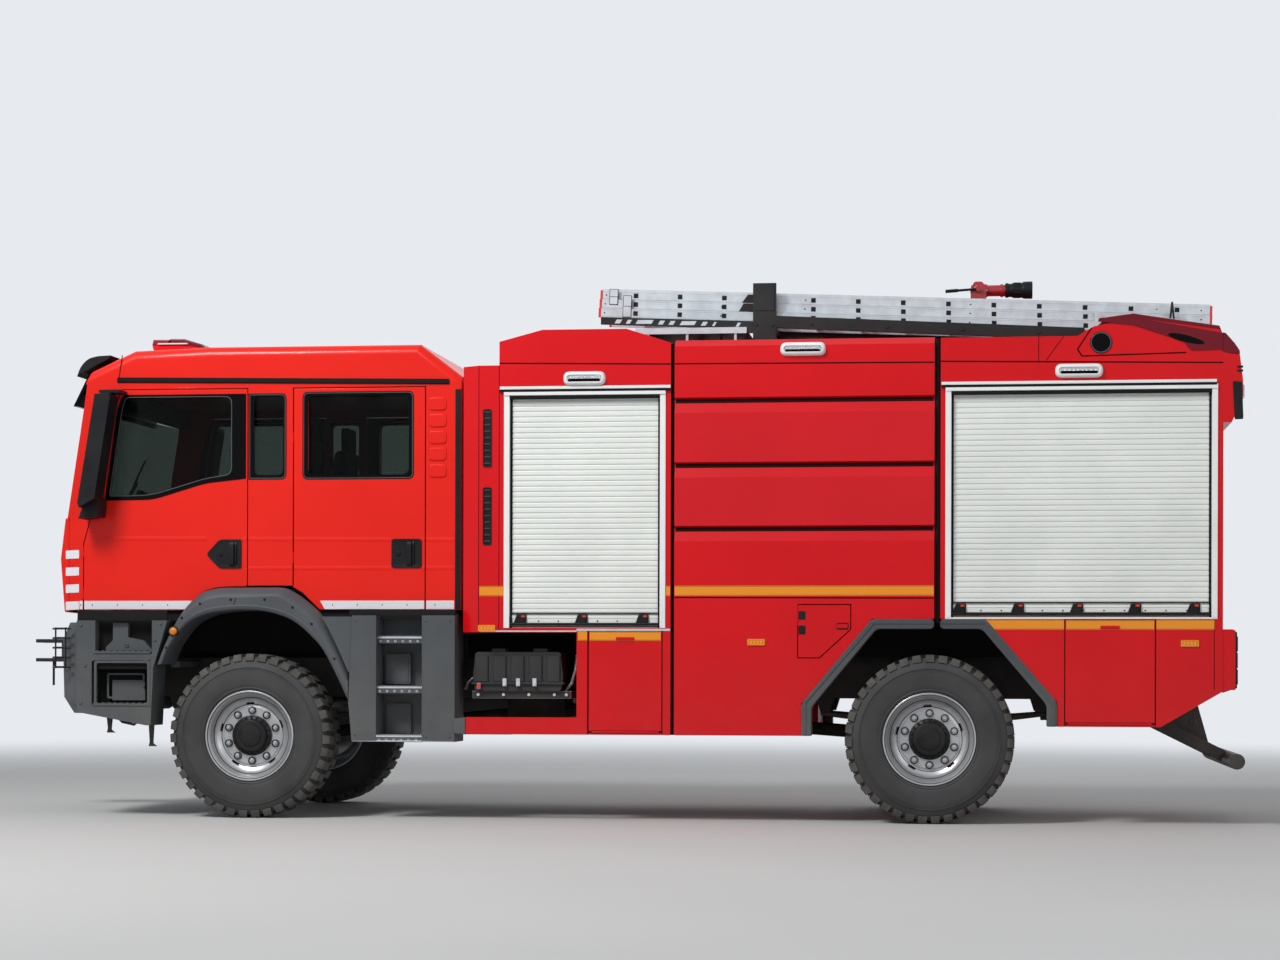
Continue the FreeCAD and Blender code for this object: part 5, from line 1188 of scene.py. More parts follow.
def buildAmber(bm):
    for x, z in lampSizes["amber"]:
        addPrism(bm, "side", softBox((x, x + lampSizes["amberLength"]), (z, z + lampSizes["amberHeight"]), 6,
                                     4), -side - 7.6, -side + 0.5)


make("amberMarkers", buildAmber, "amber", bevel=2)


def buildAmberCells(bm):
    long, tall = lampSizes["amberLength"], lampSizes["amberHeight"]
    for x, z in lampSizes["amber"]:
        addRing(bm, "side", softBox((x + 3, x + long - 3), (z + 3, z + tall - 3), 5, 3),
                softBox((x + 8, x + long - 8), (z + 8, z + tall - 8), 3, 3), -side - 8, -side - 6)
        for k in range(4):
            left = x + 16 + k * 22
            addPrism(bm, "side", rectangle((left, left + 15), (z + 12, z + tall - 12)), -side - 8, -side - 6)


make("amberCells", buildAmberCells, "tapeYellow", bevel=0.5)
print("body sides dressed")

# Roller shutters

rollers = {"pitch": 35, "rise": 7, "face": 1219, "barHigh": 88,
           "spans": ((1761, 2751, 1262, 2764), (4639, 6281, 1330, 2764)),
           "rails": ((1694, 2821), (4574, 6312)),
           "latches": ((1831, 2236, 2638), (4694, 5064, 5438, 5804, 6174)), "screwPitch": 130}


# Curtain of rounded slats between the guide rails; each slat has a nose, a flat and a groove
def buildCurtains(bm):
    face, pitch, rise = rollers["face"], rollers["pitch"], rollers["rise"]
    for x0, x1, low, high in rollers["spans"]:
        z = low + rollers["barHigh"]
        profile = [(face - 12, low + 1), (face - 12, z)]
        while z + pitch < high:
            profile += [(face + 0.5, z + 0.3), (face + 0.5, z + 1.6), (face + rise * 0.5, z + 2.6),
                        (face + rise * 0.8, z + 6), (face + rise * 0.88, z + 11),
                        (face + rise * 0.88, z + pitch - 9), (face + rise * 0.72, z + pitch - 4),
                        (face + rise * 0.4, z + pitch - 0.6)]
            z += pitch
        profile += [(face - 3, z), (face - 3, high), (face - 12, high)]
        left, right = ([bm.verts.new(place(x, -out, up)) for out, up in profile] for x in (x0, x1))
        for i in range(len(profile) - 1):
            bm.faces.new((left[i], left[i + 1], right[i + 1], right[i]))
        back = rectangle((x0, x1), (low + 1, high))
        bm.faces.new([bm.verts.new(place(x, 13.5 - face, up)) for x, up in back])


curtains = make("shutterCurtains", buildCurtains, "shutterWhite", smooth=50)[0]
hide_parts("shutters")


def buildShutterFeet(bm):
    face = rollers["face"]
    for x0, x1, low, high in rollers["spans"]:
        addPrism(bm, "cross", [(-face - out, low + up) for out, up in (
            (-8, 2), (11, 2), (12, 26), (8, 30), (8, 62), (11, 66), (10, 84), (-8, 84))], x0 + 3, x1 - 3)


make("shutterFeet", buildShutterFeet, "shutterWhite", bevel=1.2)


def buildHeaderRails(bm):
    for x0, x1 in rollers["rails"]:
        addPrism(bm, "cross", softBox((1 - side, -side - 10), (2823, 2845), 4, 4), x0, x1)


make("headerRails", buildHeaderRails, "railWhite")


# Black strips of painted shade beside the white rails: under the upper rail, in the recess at the head of
# each curtain and along both guides
def buildShutterShadeStrips(bm):
    face = rollers["face"]
    for (x0, x1), (a, b, low, high) in zip(rollers["rails"], rollers["spans"]):
        addPrism(bm, "cross", rectangle((1 - side, -side - 17), (2808, 2825)), x0, x1)
        addPrism(bm, "cross", softBox((-face, -side - 9.4), (high - 2, high + 21), 3, 3), a - 2, b + 2)
        for x in (a, b - 15):
            addPrism(bm, "plan", rounded([(x, -face), (x + 15, -face), (x + 13, -face - 12),
                                          (x + 2, -face - 12)], 3, 3), low + 2, high)


make("shutterShadeStrips", buildShutterShadeStrips, "rubber")


# Locking rod along each shutter's foot with its upright ends
def buildRods(bm):
    out = -rollers["face"] - 22
    for x0, x1, low, high in rollers["spans"]:
        addBar(bm, (x0 - 14, out, low + 26), (x1 + 14, out, low + 26), 9, 12)
        addPrism(bm, "cross", rectangle((out + 22, out + 4), (low + 94, low + 102)), x0 + 4, x1 - 4)
        for x in (x0 + 4, x1 - 4):
            addBar(bm, (x, out, low + 8), (x, out, low + 74), 6, 12)


make("shutterRods", buildRods, "blackPlastic")


def buildLatches(bm):
    out = rollers["face"] + 11
    for xs, (x0, x1, low, high) in zip(rollers["latches"], rollers["spans"]):
        for x in xs:
            addPrism(bm, "side", rounded([(x - 46, low + 30), (x - 34, low + 26), (x + 40, low + 26),
                                          (x + 40, low + 90), (x - 24, low + 90)], 8, 4), -out - 7, -out + 1)
            addPrism(bm, "side", softBox((x - 24, x + 24), (low + 34, low + 66), 6, 4), -out - 13, -out - 5)
            addPrism(bm, "side", softBox((x + 4, x + 30), (low + 71, low + 84), 4, 3), -out - 9, -out - 5, 1)


make("shutterLatches", buildLatches, ["blackPlastic", "labelRed"], bevel=1.2)


def buildShutterPulls(bm):
    face, pitch = rollers["face"], rollers["screwPitch"]
    for x0, x1, low, high in rollers["spans"]:
        addPrism(bm, "side", rectangle((x0 + 8, x1 - 8), (low + 8, low + 14)), -face - 16, -face - 8)
        for k in range(int((x1 - x0) / pitch)):
            spot = place(x0 + 60 + k * pitch, -face, low + 46)
            addTurned(bm, [(8, 5), (10, 5), (11.5, 3), (11.5, 0.6)], spot, -1, 10)


make("shutterPulls", buildShutterPulls, "blackPlastic")
print("shutters ready")

# Seals and liners in the gaps between the modules and in the arches

seals = {"gapDepth": 60, "inset": 24, "gaps": ((2824, 2846, 566, 3116), (4531, 4568, 1296, 3128)),
         "bands": (2762, 2341, 1927)}


def buildGapSeals(bm):
    outer = side - seals["inset"]
    for x0, x1, low, high in seals["gaps"]:
        addPrism(bm, "plan", rounded([(x0, 4 - outer), ((x0 + x1) / 2, -outer - 3), (x1, 4 - outer),
                                      (x1, seals["gapDepth"] - outer), (x0, seals["gapDepth"] - outer)], 3,
                                     3), low, high)
        addBox(bm, (x0, x1), (40 - side, -2), (3090, 3108))


make("moduleSeals", buildGapSeals, "rubber")


# Inner walls and roofs of the wheel arches
def buildLiners(bm):
    addPrism(bm, "side", [(3690, 860), (4136, 1316), (4850, 1316), (5300, 860), (5240, 860), (5010, 1080),
                          (3960, 1080), (3750, 860)], -652, -640)
    addPrism(bm, "side", rectangle((4136, 4850), (1308, 1318)), -1180, -652)
    addPrism(bm, "side", [(-640, 1110), (-640, 1350), (-500, 1370), (-330, 1524), (252, 1524), (480, 1370),
                          (690, 1360), (690, 1110)], -568, -560)
    addPrism(bm, "side", rectangle((1400, 2206), (1090, 1240)), -566, -560)


make("archLiners", buildLiners, "rubber", bevel=1)


# Soft lips that fill the gap under the cab
def buildCabLips(bm):
    for x0, x1, y0, y1, low, high in (
            (680, 1392, -1222, -1196, 1342, 1380), (-1176, -560, -1236, -1214, 1310, 1378),
            (-1176, -480, -1100, -1088, 1310, 1380), (462, 1392, -1100, -1090, 1322, 1381)):
        addPrism(bm, "cross", rounded([(y0, low), (y1, low), (y1 - 5, high), (y0 + 5, high)], 4, 3), x0, x1)


make("cabLips", buildCabLips, "rubber")


# Dark strips under the lips of the tank's pressed bands: painted shadow of the lips
def buildBandShadowStrips(bm):
    for line in seals["bands"]:
        addPrism(bm, "cross", [(-side + 29, line - 8.4), (-side + 26, line - 10), (-side + 18.6, line - 36),
                               (-side + 21, line - 37)], 2852, 4524)


make("bandShadowStrips", buildBandShadowStrips, "seam")
print("seals ready")

# Front end: bumper steps, lamp guard, fender and crew steps

# A small domed screw at each place on a side face
def addScrews(bm, spots, face, profile=((0, 9), (3, 9), (5, 6), (5, 1)), segments=12):
    for x, z in spots:
        addTurned(bm, profile, place(x, face, z), -1, segments)


def buildLampGuard(bm):
    out = -1252
    for z in (1000, 1065, 1130, 1195, 1258):
        addPath(bm, [(-1216, out + 6, z), (-1262, out - 6, z), (-1322, out + 20, z), (-1368, out + 90, z)], 7,
                8)
    for x, y in ((-1250, out - 5), (-1330, out + 28)):
        addBar(bm, (x, y, 992), (x, y, 1266), 6, 8)


make("lampGuards", buildLampGuard, "blackPlastic")


def buildBumperTrim(bm):
    face = -1242
    # Framed recess, its lower pocket and the ledges of the driver's steps
    addRing(bm, "side", softBox((-1056, -672), (742, 1044), 18, 4),
            softBox((-1040, -690), (758, 1028), 14, 4), face - 3, face + 14)
    addRing(bm, "side", softBox((-1000, -740), (790, 960), 16, 4), softBox((-988, -752), (802, 948), 12, 4),
            -1142, -1130)
    for z in (744, 1048, 1092):
        addPrism(bm, "side", softBox((-1066, -668), (z, z + 14), 5, 3), face - 4, -1150)
    for k in range(9):
        for z in (1104, 756):
            addPrism(bm, "side", rectangle((-1050 + k * 42, -1032 + k * 42), (z, z + 8)), face + 6, -1164)
    addScrews(bm, ((-1150, 1280), (-1150, 760), (-700, 1040), (-1120, 1010), (-640, 1180), (-600, 1290)),
              face)


make("bumperTrim", buildBumperTrim, "greyPlastic", bevel=1.4)


# Black plates at the back of the driver's step notches, and a black block under the upper step's ledge that
# is painted shade
def buildStepWellsAndShade(bm):
    addPrism(bm, "side", rectangle((-1073, -692), (747, 1038)), -1106, -1098)
    # Painted shade: the dark gap under the upper step's ledge
    addPrism(bm, "side", softBox((-1073, -692), (988, 1038), 4, 2), -1226, -1104)
    addPrism(bm, "side", rectangle((-1048, -662), (1092, 1311)), -1156, -1148)


make("stepWellsAndShade", buildStepWellsAndShade, "rubber")


# Moulded bracket over the upper step and the plate behind the lower one
def buildStepMouldings(bm):
    addPrism(bm, "side", rounded([(-941, 1296), (-837, 1296), (-837, 1200), (-733, 1180), (-672, 1116),
                                  (-672, 1096), (-990, 1096), (-990, 1134), (-941, 1180)], 6, 3), -1200,
             -1154)
    addPrism(bm, "side", rounded([(-962, 778), (-735, 778), (-735, 846), (-750, 862), (-735, 880),
                                  (-742, 914), (-962, 914)], 5, 3), -1146, -1104)
    addTurned(bm, [(-2, 14), (5, 14), (7, 10), (3, 8), (3, 1)], place(-845, -1200, 1146), -1, 20)


make("stepMouldings", buildStepMouldings, "greyPlastic", bevel=5)


def buildHangingBrackets(bm):
    for x, low in ((-1010, 560), (-720, 470)):
        addPrism(bm, "side", rounded([(x, 700), (x + 46, 700), (x + 34, low + 20), (x + 62, low),
                                      (x + 4, low), (x + 12, low + 30)], 6, 3), -1130, -1112)
    addPath(bm, [(-960, -1120, 690), (-900, -1120, 632), (-820, -1120, 615), (-760, -1120, 660)], 9, 10)


make("bumperBrackets", buildHangingBrackets, "frameBlack", bevel=1)

fender = {"out": 1240, "skin": 1122, "deep": 930, "liner": 30, "stations": 72, "amber": (-510, 1240),
          "outer": [(-640, 1020), (-585, 1160), (-508, 1316), (-422, 1427), (-330, 1502), (-215, 1530),
                    (-89, 1533), (90, 1533), (215, 1531), (290, 1500), (376, 1441), (486, 1338), (590, 1150),
                    (676, 960)],
          "inner": [(-590, 1020), (-545, 1130), (-470, 1238), (-390, 1312), (-290, 1354), (-190, 1372),
                    (-80, 1381), (40, 1380), (130, 1368), (215, 1346), (300, 1310), (400, 1232), (520, 1095),
                    (676, 785)]}


# Even steps along a soft curve through the points
def softCurve(points, count):
    spans = len(points) - 1
    curve = []
    for k in range(count):
        i = min(int(k / (count - 1) * spans), spans - 1)
        t = k / (count - 1) * spans - i
        a, b, c, d = (Vector(points[min(max(i + n, 0), spans)]) for n in (-1, 0, 1, 2))
        curve.append((b * 2 + (c - a) * t + (a * 2 - b * 5 + c * 4 - d) * t * t
                      + (b * 3 - a - c * 3 + d) * t ** 3) / 2)
    return curve


# One sweep over the arch: inner lip with a raised bead, flat face, rounded shoulder and the liner behind
def buildFender(bm):
    out, skin, deep, liner = fender["out"], fender["skin"], fender["deep"], fender["liner"]
    rings = []
    inner, outer = (softCurve(fender[line], fender["stations"]) for line in ("inner", "outer"))
    for low, high in zip(inner, outer):
        reach = (high - low).length
        away = (high - low) / reach
        f = min(1.0, reach / 150)
        section = [(0, deep), (0, out - 14), (3 * f, out - 4), (10 * f, out + 1), (26 * f, out + 5),
                   (32 * f, out + 3), (36 * f, out), (reach - 72 * f, out), (reach - 56 * f, out - 4),
                   (reach - 34 * f, out - 22), (reach - 14 * f, out - 48), (reach - 3 * f, out - 66),
                   (reach, out - 80), (reach, skin), (liner, skin), (liner, deep)]
        rings.append([bm.verts.new(place((low + away * up).x, -y, (low + away * up).y)) for up, y in section])
    joinRings(bm, rings)
    addBox(bm, (-618, -562), (-deep - 4, -431), (1000, 1040))


smoothFenders = make("frontFenders", buildFender, "greyPlastic", smooth=40)[0]
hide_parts("front_fenders")


def buildFenderScrews(bm):
    addScrews(bm, ((-560, 1130), (-455, 1330), (-330, 1425), (-120, 1452), (110, 1452), (300, 1400),
                   (430, 1290), (585, 1060)), -fender["out"], ((-1, 8), (4, 8), (6, 5), (6, 1)))


make("fenderScrews", buildFenderScrews, "blackPlastic")


# Joint between the fender's two mouldings, from the top edge down over the shoulder
def buildFenderJoint(bm):
    face = -fender["out"]
    line = softCurve([(-86, 1462), (-90, 1440), (-104, 1412), (-110, 1396)], 8)
    for a, b in zip(line, line[1:]):
        addPrism(bm, "side", [(a.x - 2.5, a.y), (a.x + 2.5, a.y), (b.x + 2.5, b.y), (b.x - 2.5, b.y)],
                 face - 0.8, face + 1)


make("fenderJoints", buildFenderJoint, "seam")


# Curved fillings under the door corners, beside the fender
def addArchFill(bm, edge, gap):
    pairs = []
    line = softCurve(fender["outer"], 400)
    for point, ahead in zip(line, line[1:]):
        step = (ahead - point).normalized()
        spot = point + Vector((-step.y, step.x)) * gap
        for (x0, z0), (x1, z1) in zip(edge, edge[1:]):
            top = z0 + (z1 - z0) * (spot.x - x0) / (x1 - x0)
            if x0 <= spot.x <= x1 and spot.y < top - 0.5:
                pairs.append((spot, Vector((spot.x, top + 3))))
    addPrism(bm, "side", [tuple(low) for low, high in pairs] + [tuple(high) for low, high in reversed(pairs)],
             -layout["cabSide"] + 0.7, -layout["cabSide"] + 16)


make("frontDoorArch", lambda bm: addArchFill(bm, [(-478, 1390), (-325, 1535), (-50, 1547)], 9), "cabRed",
     "front_door_left", pair="bodies")
make("rearDoorArch", lambda bm: addArchFill(bm, [(272, 1547), (300, 1535), (455, 1390)], 25), "cabRed",
     "rear_door_left", pair="bodies")


# Mudguard between the fender's rear edge and the crew steps
def buildMudguard(bm):
    edge = [(point.x + 4, point.y + 2) for point in softCurve(fender["outer"], 160) if point.x > 480
            and 962 < point.y < 1336]
    addPrism(bm, "side", edge + [(698, edge[-1][1]), (698, 1338), (edge[0][0], 1338)], -1226, -1200)


make("crewMudguard", buildMudguard, "greyPlastic", bevel=4)


def buildFenderLamp(bm):
    x, z = fender["amber"]
    face = -fender["out"]
    addTurned(bm, [(-12, 34), (8, 34), (12, 30), (12, 27), (8, 27)], place(x, face, z), -1, 28, index=1)
    addTurned(bm, [(2, 27), (14, 26), (20, 21), (23, 12), (24, 2)], place(x, face, z), -1, 28)


make("fenderLamps", buildFenderLamp, ["amber", "blackPlastic"], smooth=50)


# Serrated steel treads with rows of holes, and the recess panels behind them
def buildTreads(bm):
    for i, (low, near) in enumerate(((512, 1228), (834, 1204), (1164, 1180))):
        near = -near - 4
        addPrism(bm, "side", softBox((858, 1176), (low + 26, low + 40), 3, 3), near, near + 190)
        for k in range(20):
            x = 866 + k * 15.5
            addPrism(bm, "side", [(x, low + 40), (x + 9, low + 40), (x + 4.5, low + 48)], near + 2,
                     near + 186)
        addPrism(bm, "side", softBox((858, 1176), (low - 2, low + 30), 3, 3), near, near + 5, 1)
        for k in range(6):
            x = 884 + k * 50
            addTurned(bm, [(4.6, 8), (6.2, 8), (6.2, 4.5), (4.6, 4.5)], place(x, near + 5, low + 12), -1, 12,
                      closed=True)


make("crewTreads", buildTreads, ["aluminium", "greyPlastic"], bevel=0.8)


def buildStepPanels(bm):
    for low, high, near in ((894, 1092, -1050), (564, 762, -1030)):
        addPrism(bm, "side", softBox((891, 1058), (low, high), 16, 4), near, near + 12)
        addRing(bm, "side", softBox((905, 1044), (low + 14, high - 14), 12, 4),
                softBox((915, 1034), (low + 24, high - 24), 10, 4), near - 4, near + 2)
    addScrews(bm, ((1200, 1310), (1360, 1310), (1200, 545), (1360, 545), (724, 1310), (724, 560)), -1236,
              ((0, 8), (3, 8), (5, 5), (5, 1)))
    addPrism(bm, "side", rectangle((1180, 1183), (520, 1336)), -1237, -1234)


make("crewStepPanels", buildStepPanels, "greyPlastic", bevel=1.4)

# Battery cover: a moulded lid with upright lobes, bumps on top, clasps and its tray
battery = {"xs": (1498, 2098), "zs": (850, 1106), "near": 1140, "far": 730, "lobes": 5}


def buildBattery(bm):
    (x0, x1), (low, high), near = battery["xs"], battery["zs"], -battery["near"]
    addPrism(bm, "side", rounded([(x0 + 12, low), (x1 - 12, low), (x1, low + 90), (x1 - 16, high),
                                  (x0 + 16, high), (x0, low + 90)], 22, 5), near, -battery["far"])
    soften(bm, 14, 3)
    for k in range(battery["lobes"]):
        centre = x0 + (x1 - x0) * (k + 0.5) / battery["lobes"]
        piece = bmesh.new()
        addPrism(piece, "plan", [(centre + x, near + y) for x, y in (
            (-46, 4), (-40, -12), (-22, -18), (22, -18), (40, -12), (46, 4))], low + 62, high - 26)
        soften(piece, 8, 3)
        mergeInto(bm, piece)
    for x in (x0 + 120, x1 - 200):
        piece = bmesh.new()
        addBox(piece, (x, x + 90), (near + 30, near + 180), (high - 6, high + 22))
        soften(piece, 8, 3)
        mergeInto(bm, piece)
    addPrism(bm, "side", softBox((x0 - 10, x1 + 10), (low + 44, low + 58), 6, 3), near - 16, near + 412)


batteryCover = make("batteryCover", buildBattery, "coverGrey", pair=None, smooth=36)[0]
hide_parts("battery_box")


def buildBatteryFittings(bm):
    near = -battery["near"] - 16
    for x in (1700, 1790, 1900):
        addPrism(bm, "side", softBox((x, x + 26), (880, 932), 5, 3), near - 8, near + 6, 0)
        addBar(bm, (x + 13, near - 8, 892), (x + 13, near - 14, 892), 8, 12, 0)
    addPrism(bm, "side", softBox((1528, 1552), (862, 900), 4, 3), near - 10, near + 2, 1)
    addBox(bm, (1492, 2150), (-1120, -430), (800, 848), 2)
    for x in (1530, 1700, 1870, 2040, 2120):
        addTurned(bm, [(0, 11), (8, 11), (8, 1)], place(x, -1120, 824), -1, 6, index=0)
    addPath(bm, [(2110, -1080, 850), (2150, -1085, 900), (2175, -1080, 990), (2180, -1060, 1080)], 11, 10, 2)
    addPath(bm, [(1430, -1040, 860), (1450, -1060, 905), (1478, -1060, 930)], 9, 10, 2)


make("batteryFittings", buildBatteryFittings, ["aluminium", "labelRed", "frameBlack"],
     pair=None, bevel=1)
sidePlate("sillStrip", rectangle((2207, 2822), (1244, 1258)), side, side + 5, "aluminium")
sidePlate("frontSillStrip", rectangle((1560, 2206), (1237, 1246)), side - 2, side + 4, "aluminium")
sidePlate("rearSillStrip", rectangle((4600, 6320), (1322, 1332)), side, side + 5, "railWhite")
sidePlate("skirtEnds", rounded([(1392, 572), (1466, 566), (1466, 676), (1392, 668)], 8, 3), 1172, side + 2,
          "greyPlastic")
print("front end and battery ready")

# Arch trims: a second raised lip along the grey trims
def buildTrimLips(bm):
    face = -side - 12
    for path in ([(3700, 575), (3700, 784), (4141, 1298), (4528, 1298)],
                 [(4571, 1298), (4847, 1298), (5291, 782), (5291, 640)]):
        for a, b in zip(path, path[1:]):
            a, b = Vector(a), Vector(b)
            step = (b - a).normalized()
            normal = Vector((-step.y, step.x)) * 7
            addPrism(bm, "side", [tuple(a - normal), tuple(b - normal), tuple(b + normal), tuple(a + normal)],
                     face - 5, face + 1)


make("archTrimLips", buildTrimLips, "greyPlastic", bevel=1.5)

# Hinge plates with screws on the side lid, and the ring of its latch
hatch = {"plates": ((3646, 3686), ((1222, 1278), (1318, 1372)))}


def buildHatchTrim(bm):
    (x0, x1), heights = hatch["plates"]
    for low, high in heights:
        addPrism(bm, "side", softBox((x0 + 12, x1 + 16), (low, high), 5, 3), -side - 3, -side + 1)
        for z in (low + 13, high - 13):
            addTurned(bm, [(3, 5), (5, 5), (6, 3), (6, 1)], place(x1 + 4, -side, z), -1, 10)
    addRing(bm, "side", softBox((3902, 3980), (1254, 1296), 12, 5), softBox((3910, 3972), (1262, 1288), 7, 5),
            -side - 4, -side + 1)


make("hatchTrim", buildHatchTrim, "blackPlastic", "tank_hatch", pair=None, bevel=0.8)

# Roof: ladder fittings, rack, walkway slats and the water cannon

ladderSizes = {"front": 2265, "low": 3372, "near": -645, "width": 560, "fall": 2.33, "pitch": 63, "inset": 26,
               "length": 4060, "firstRung": 231, "rungPitch": 300, "rungs": 13}


# A place on the sloping ladder: along it from the fore end, across, and up from its underside
def onLadder(along, y, up):
    angle = math.radians(ladderSizes["fall"])
    return place(ladderSizes["front"] + along * math.cos(angle) + up * math.sin(angle), y,
                 ladderSizes["low"] - along * math.sin(angle) + up * math.cos(angle))


# Each section's two side faces, with the side that they face
def ladderFaces(k):
    inset = k * ladderSizes["inset"]
    return (ladderSizes["near"] + inset, -1), (ladderSizes["near"] + ladderSizes["width"] - inset, 1)


def addLadderBox(bm, along, ys, ups, index=0):
    addLadderPlate(bm, rectangle(along, ups), *ys, index)


def addLadderPlate(bm, outline, y0, y1, index=0):
    joinRings(bm, [[bm.verts.new(onLadder(along, y, up)) for along, up in outline] for y in (y0, y1)], index)


# Pierced support plate beside the ladder's fore end, with its post
rackPlate = {"near": 690, "ends": (2282, 3312), "top": (3365, 3324), "tall": 50, "post": 3090,
             "slots": ((2375, 2418), (2451, 2484), (2517, 2631), (2669, 2707), (2740, 2778), (2816, 2920),
                       (2958, 2996), (3034, 3056), (3192, 3219))}


def rackLine(x):
    (x0, x1), (z0, z1) = rackPlate["ends"], rackPlate["top"]
    return z0 + (z1 - z0) * (x - x0) / (x1 - x0)


def buildRackPlate(bm):
    near, tall, post = rackPlate["near"], rackPlate["tall"], rackPlate["post"]
    x0, x1 = rackPlate["ends"]
    addPrism(bm, "side", [(x0, rackLine(x0)), (x0, rackLine(x0) - tall), (x1, rackLine(x1) - tall - 6),
                          (x1, rackLine(x1))], -near, -near + 10)
    addPrism(bm, "side", rectangle((post, post + 15), (3150, rackLine(post) - tall + 8)), -near, -near + 15)
    addPrism(bm, "side", rectangle((x1 - 70, x1 + 6), (rackLine(x1) - tall - 30, rackLine(x1) - 8)),
             -near + 1, -near + 14)


make("rackPlate", buildRackPlate, "frameBlack", pair=None, bevel=1)


def buildRackSlots(bm):
    near = -rackPlate["near"]
    for x0, x1 in rackPlate["slots"]:
        top, low = rackLine(x0) - 14, rackLine(x0) - 40
        addPrism(bm, "side", [(x0 + 16, top), (x0, low), (x1 - 6, low - 1), (x1 + 10, top - 1)], near - 1,
                 near + 1)


make("rackSlots", buildRackSlots, "aluminium", pair=None)


# Box-section stringers with rolled lips, and ribbed rungs between them, in three nested sections
def buildLadder(bm):
    v = ladderSizes
    ends = (6, v["length"] - 6)
    for k in range(3):
        up = k * v["pitch"]
        for face, out in ladderFaces(k):
            piece = bmesh.new()
            addLadderBox(piece, (4, v["length"] - 4), sorted((face, face - out * 24)), (up, up + 60))
            soften(piece, 3, 2)
            for ridge in (5, 51):
                addLadderBox(piece, ends, sorted((face + out * 1.5, face - out * 12)),
                             (up + ridge, up + ridge + 4))
            if k == 2:
                addLadderBox(piece, ends, sorted((face - out * 2, face - out * 22)), (up + 58, up + 71))
            mergeInto(bm, piece)
        near, far = (face - out * 20 for face, out in ladderFaces(k))
        for n in range(v["rungs"]):
            x = v["firstRung"] + v["rungPitch"] * n - 4 * k
            addLadderBox(bm, (x + 1, x + 27), (near, far), (up + 17, up + 43))
            for rib in (4, 11, 18):
                addLadderBox(bm, (x + rib, x + rib + 3), (near + 6, far - 6), (up + 42, up + 45))


ladderPiece = make("ladderSections", buildLadder, "aluminium", "ladder", pair=None)[0]
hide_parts("ladder")


# Black rung ends and screws, a dark line of painted shade in the gap under each upper section, and red end
# caps
def buildLadderPlugsAndGapShade(bm):
    v = ladderSizes
    for k in range(3):
        up = k * v["pitch"]
        for face, out in ladderFaces(k):
            for n in range(v["rungs"]):
                x = v["firstRung"] + v["rungPitch"] * n - 4 * k
                addLadderBox(bm, (x - 1, x + 29), (face - 3, face + 3), (up + 15, up + 45))
            # Painted shade in the gap under this section
            if k:
                addLadderBox(bm, (8, v["length"] - 8), sorted((face - out * 3, face + out * 1.2)),
                             (up - 3, up + 1))
            for x in (30, 820, 1380, 2480, 3700, 3990):
                addLadderBox(bm, (x, x + 8), sorted((face + out * 1.8, face - out * 3)), (up + 26, up + 34))
            for x in (-6, v["length"] - 10):
                addLadderBox(bm, (x, x + 16), sorted((face + out * 2, face - out * 26)), (up - 1, up + 61), 1)


make("ladderPlugsAndGapShade", buildLadderPlugsAndGapShade, ["blackPlastic", "labelRed"], "ladder", pair=None, bevel=0.8)


# Latch plates at the ladder's fore end and clips further back; each has its place along and up,
# its section and its outline
ladderLatches = {"tall": ((60, 120), (88, 194), 1), "low": ((158, 217), (2, 150), 0), "clips": (3300, 3820),
                 "rim": 4}


def buildLadderBrackets(bm):
    v = ladderLatches
    for along, ups, k in (v["tall"], v["low"]):
        for face, out in ladderFaces(k):
            a, b, low, high, rim = *along, *ups, v["rim"]
            middle = (low + high) / 2
            addLadderBox(bm, along, sorted((face - out * 2, face + out * 4)), ups, 1)
            for z0, z1 in ((low + rim, middle - rim / 2), (middle + rim / 2, high - rim)):
                addLadderBox(bm, (a + rim, b - rim), sorted((face + out * 2, face + out * 7)), (z0, z1))
    for x in v["clips"]:
        for face, out in ladderFaces(0):
            addLadderBox(bm, (x, x + 46), sorted((face - out * 2, face + out * 5)), (1, 123))
            for up in (14, 92):
                addLadderBox(bm, (x + 16, x + 30), sorted((face + out * 2, face + out * 8)), (up, up + 14))
    for k, chamfer in ((1, 30), (2, 38)):
        low = k * ladderSizes["pitch"] + 2
        for face, out in ladderFaces(k):
            outline = [(941 + 17 * (k - 1), low), (1052, low), (1052, low + 55),
                       (941 + 17 * (k - 1) + chamfer, low + 55)]
            addLadderPlate(bm, outline, *sorted((face - out * 2, face + out * 5)), 1)


make("ladderBrackets", buildLadderBrackets, ["aluminium", "frameBlack"], "ladder", pair=None, bevel=0.8)

rackBolts = ((3330, 3300), (3440, 3296), (3700, 3300), (4200, 3274), (4700, 3250), (5200, 3222))


def buildRackTrim(bm):
    for y in (-703, -28):
        addPrism(bm, "side", softBox((3322, 3452), (3392, 3560), 10, 4), y - 4, y + 4)
        for x, z in rackBolts:
            addTurned(bm, [(0, 11), (7, 11), (7, 1)], place(x, y, z), -1 if y < -300 else 1, 6)
    for x in (3380, 5350):
        fall = math.tan(math.radians(ladderSizes["fall"]))
        top = ladderSizes["low"] - fall * (x + 60 - ladderSizes["front"])
        for y in (-640, -560, -170, -110):
            addPrism(bm, "side", rectangle((x + 8, x + 52), (top - 44, top - 38)), y, y + 20)


make("rackTrim", buildRackTrim, "frameBlack", pair=None, bevel=1.2)


# Two pointed stays that hold the ladder's rear end
def buildRearStay(bm):
    for y in (-690, -60):
        addPath(bm, [(6041, y, 3180), (6067, y, 3408), (6093, y, 3180)], 7, 10)


make("rearStays", buildRearStay, "frameBlack", pair=None)

walkwayTrim = {"strips": 18, "first": 2568, "pitch": 40}


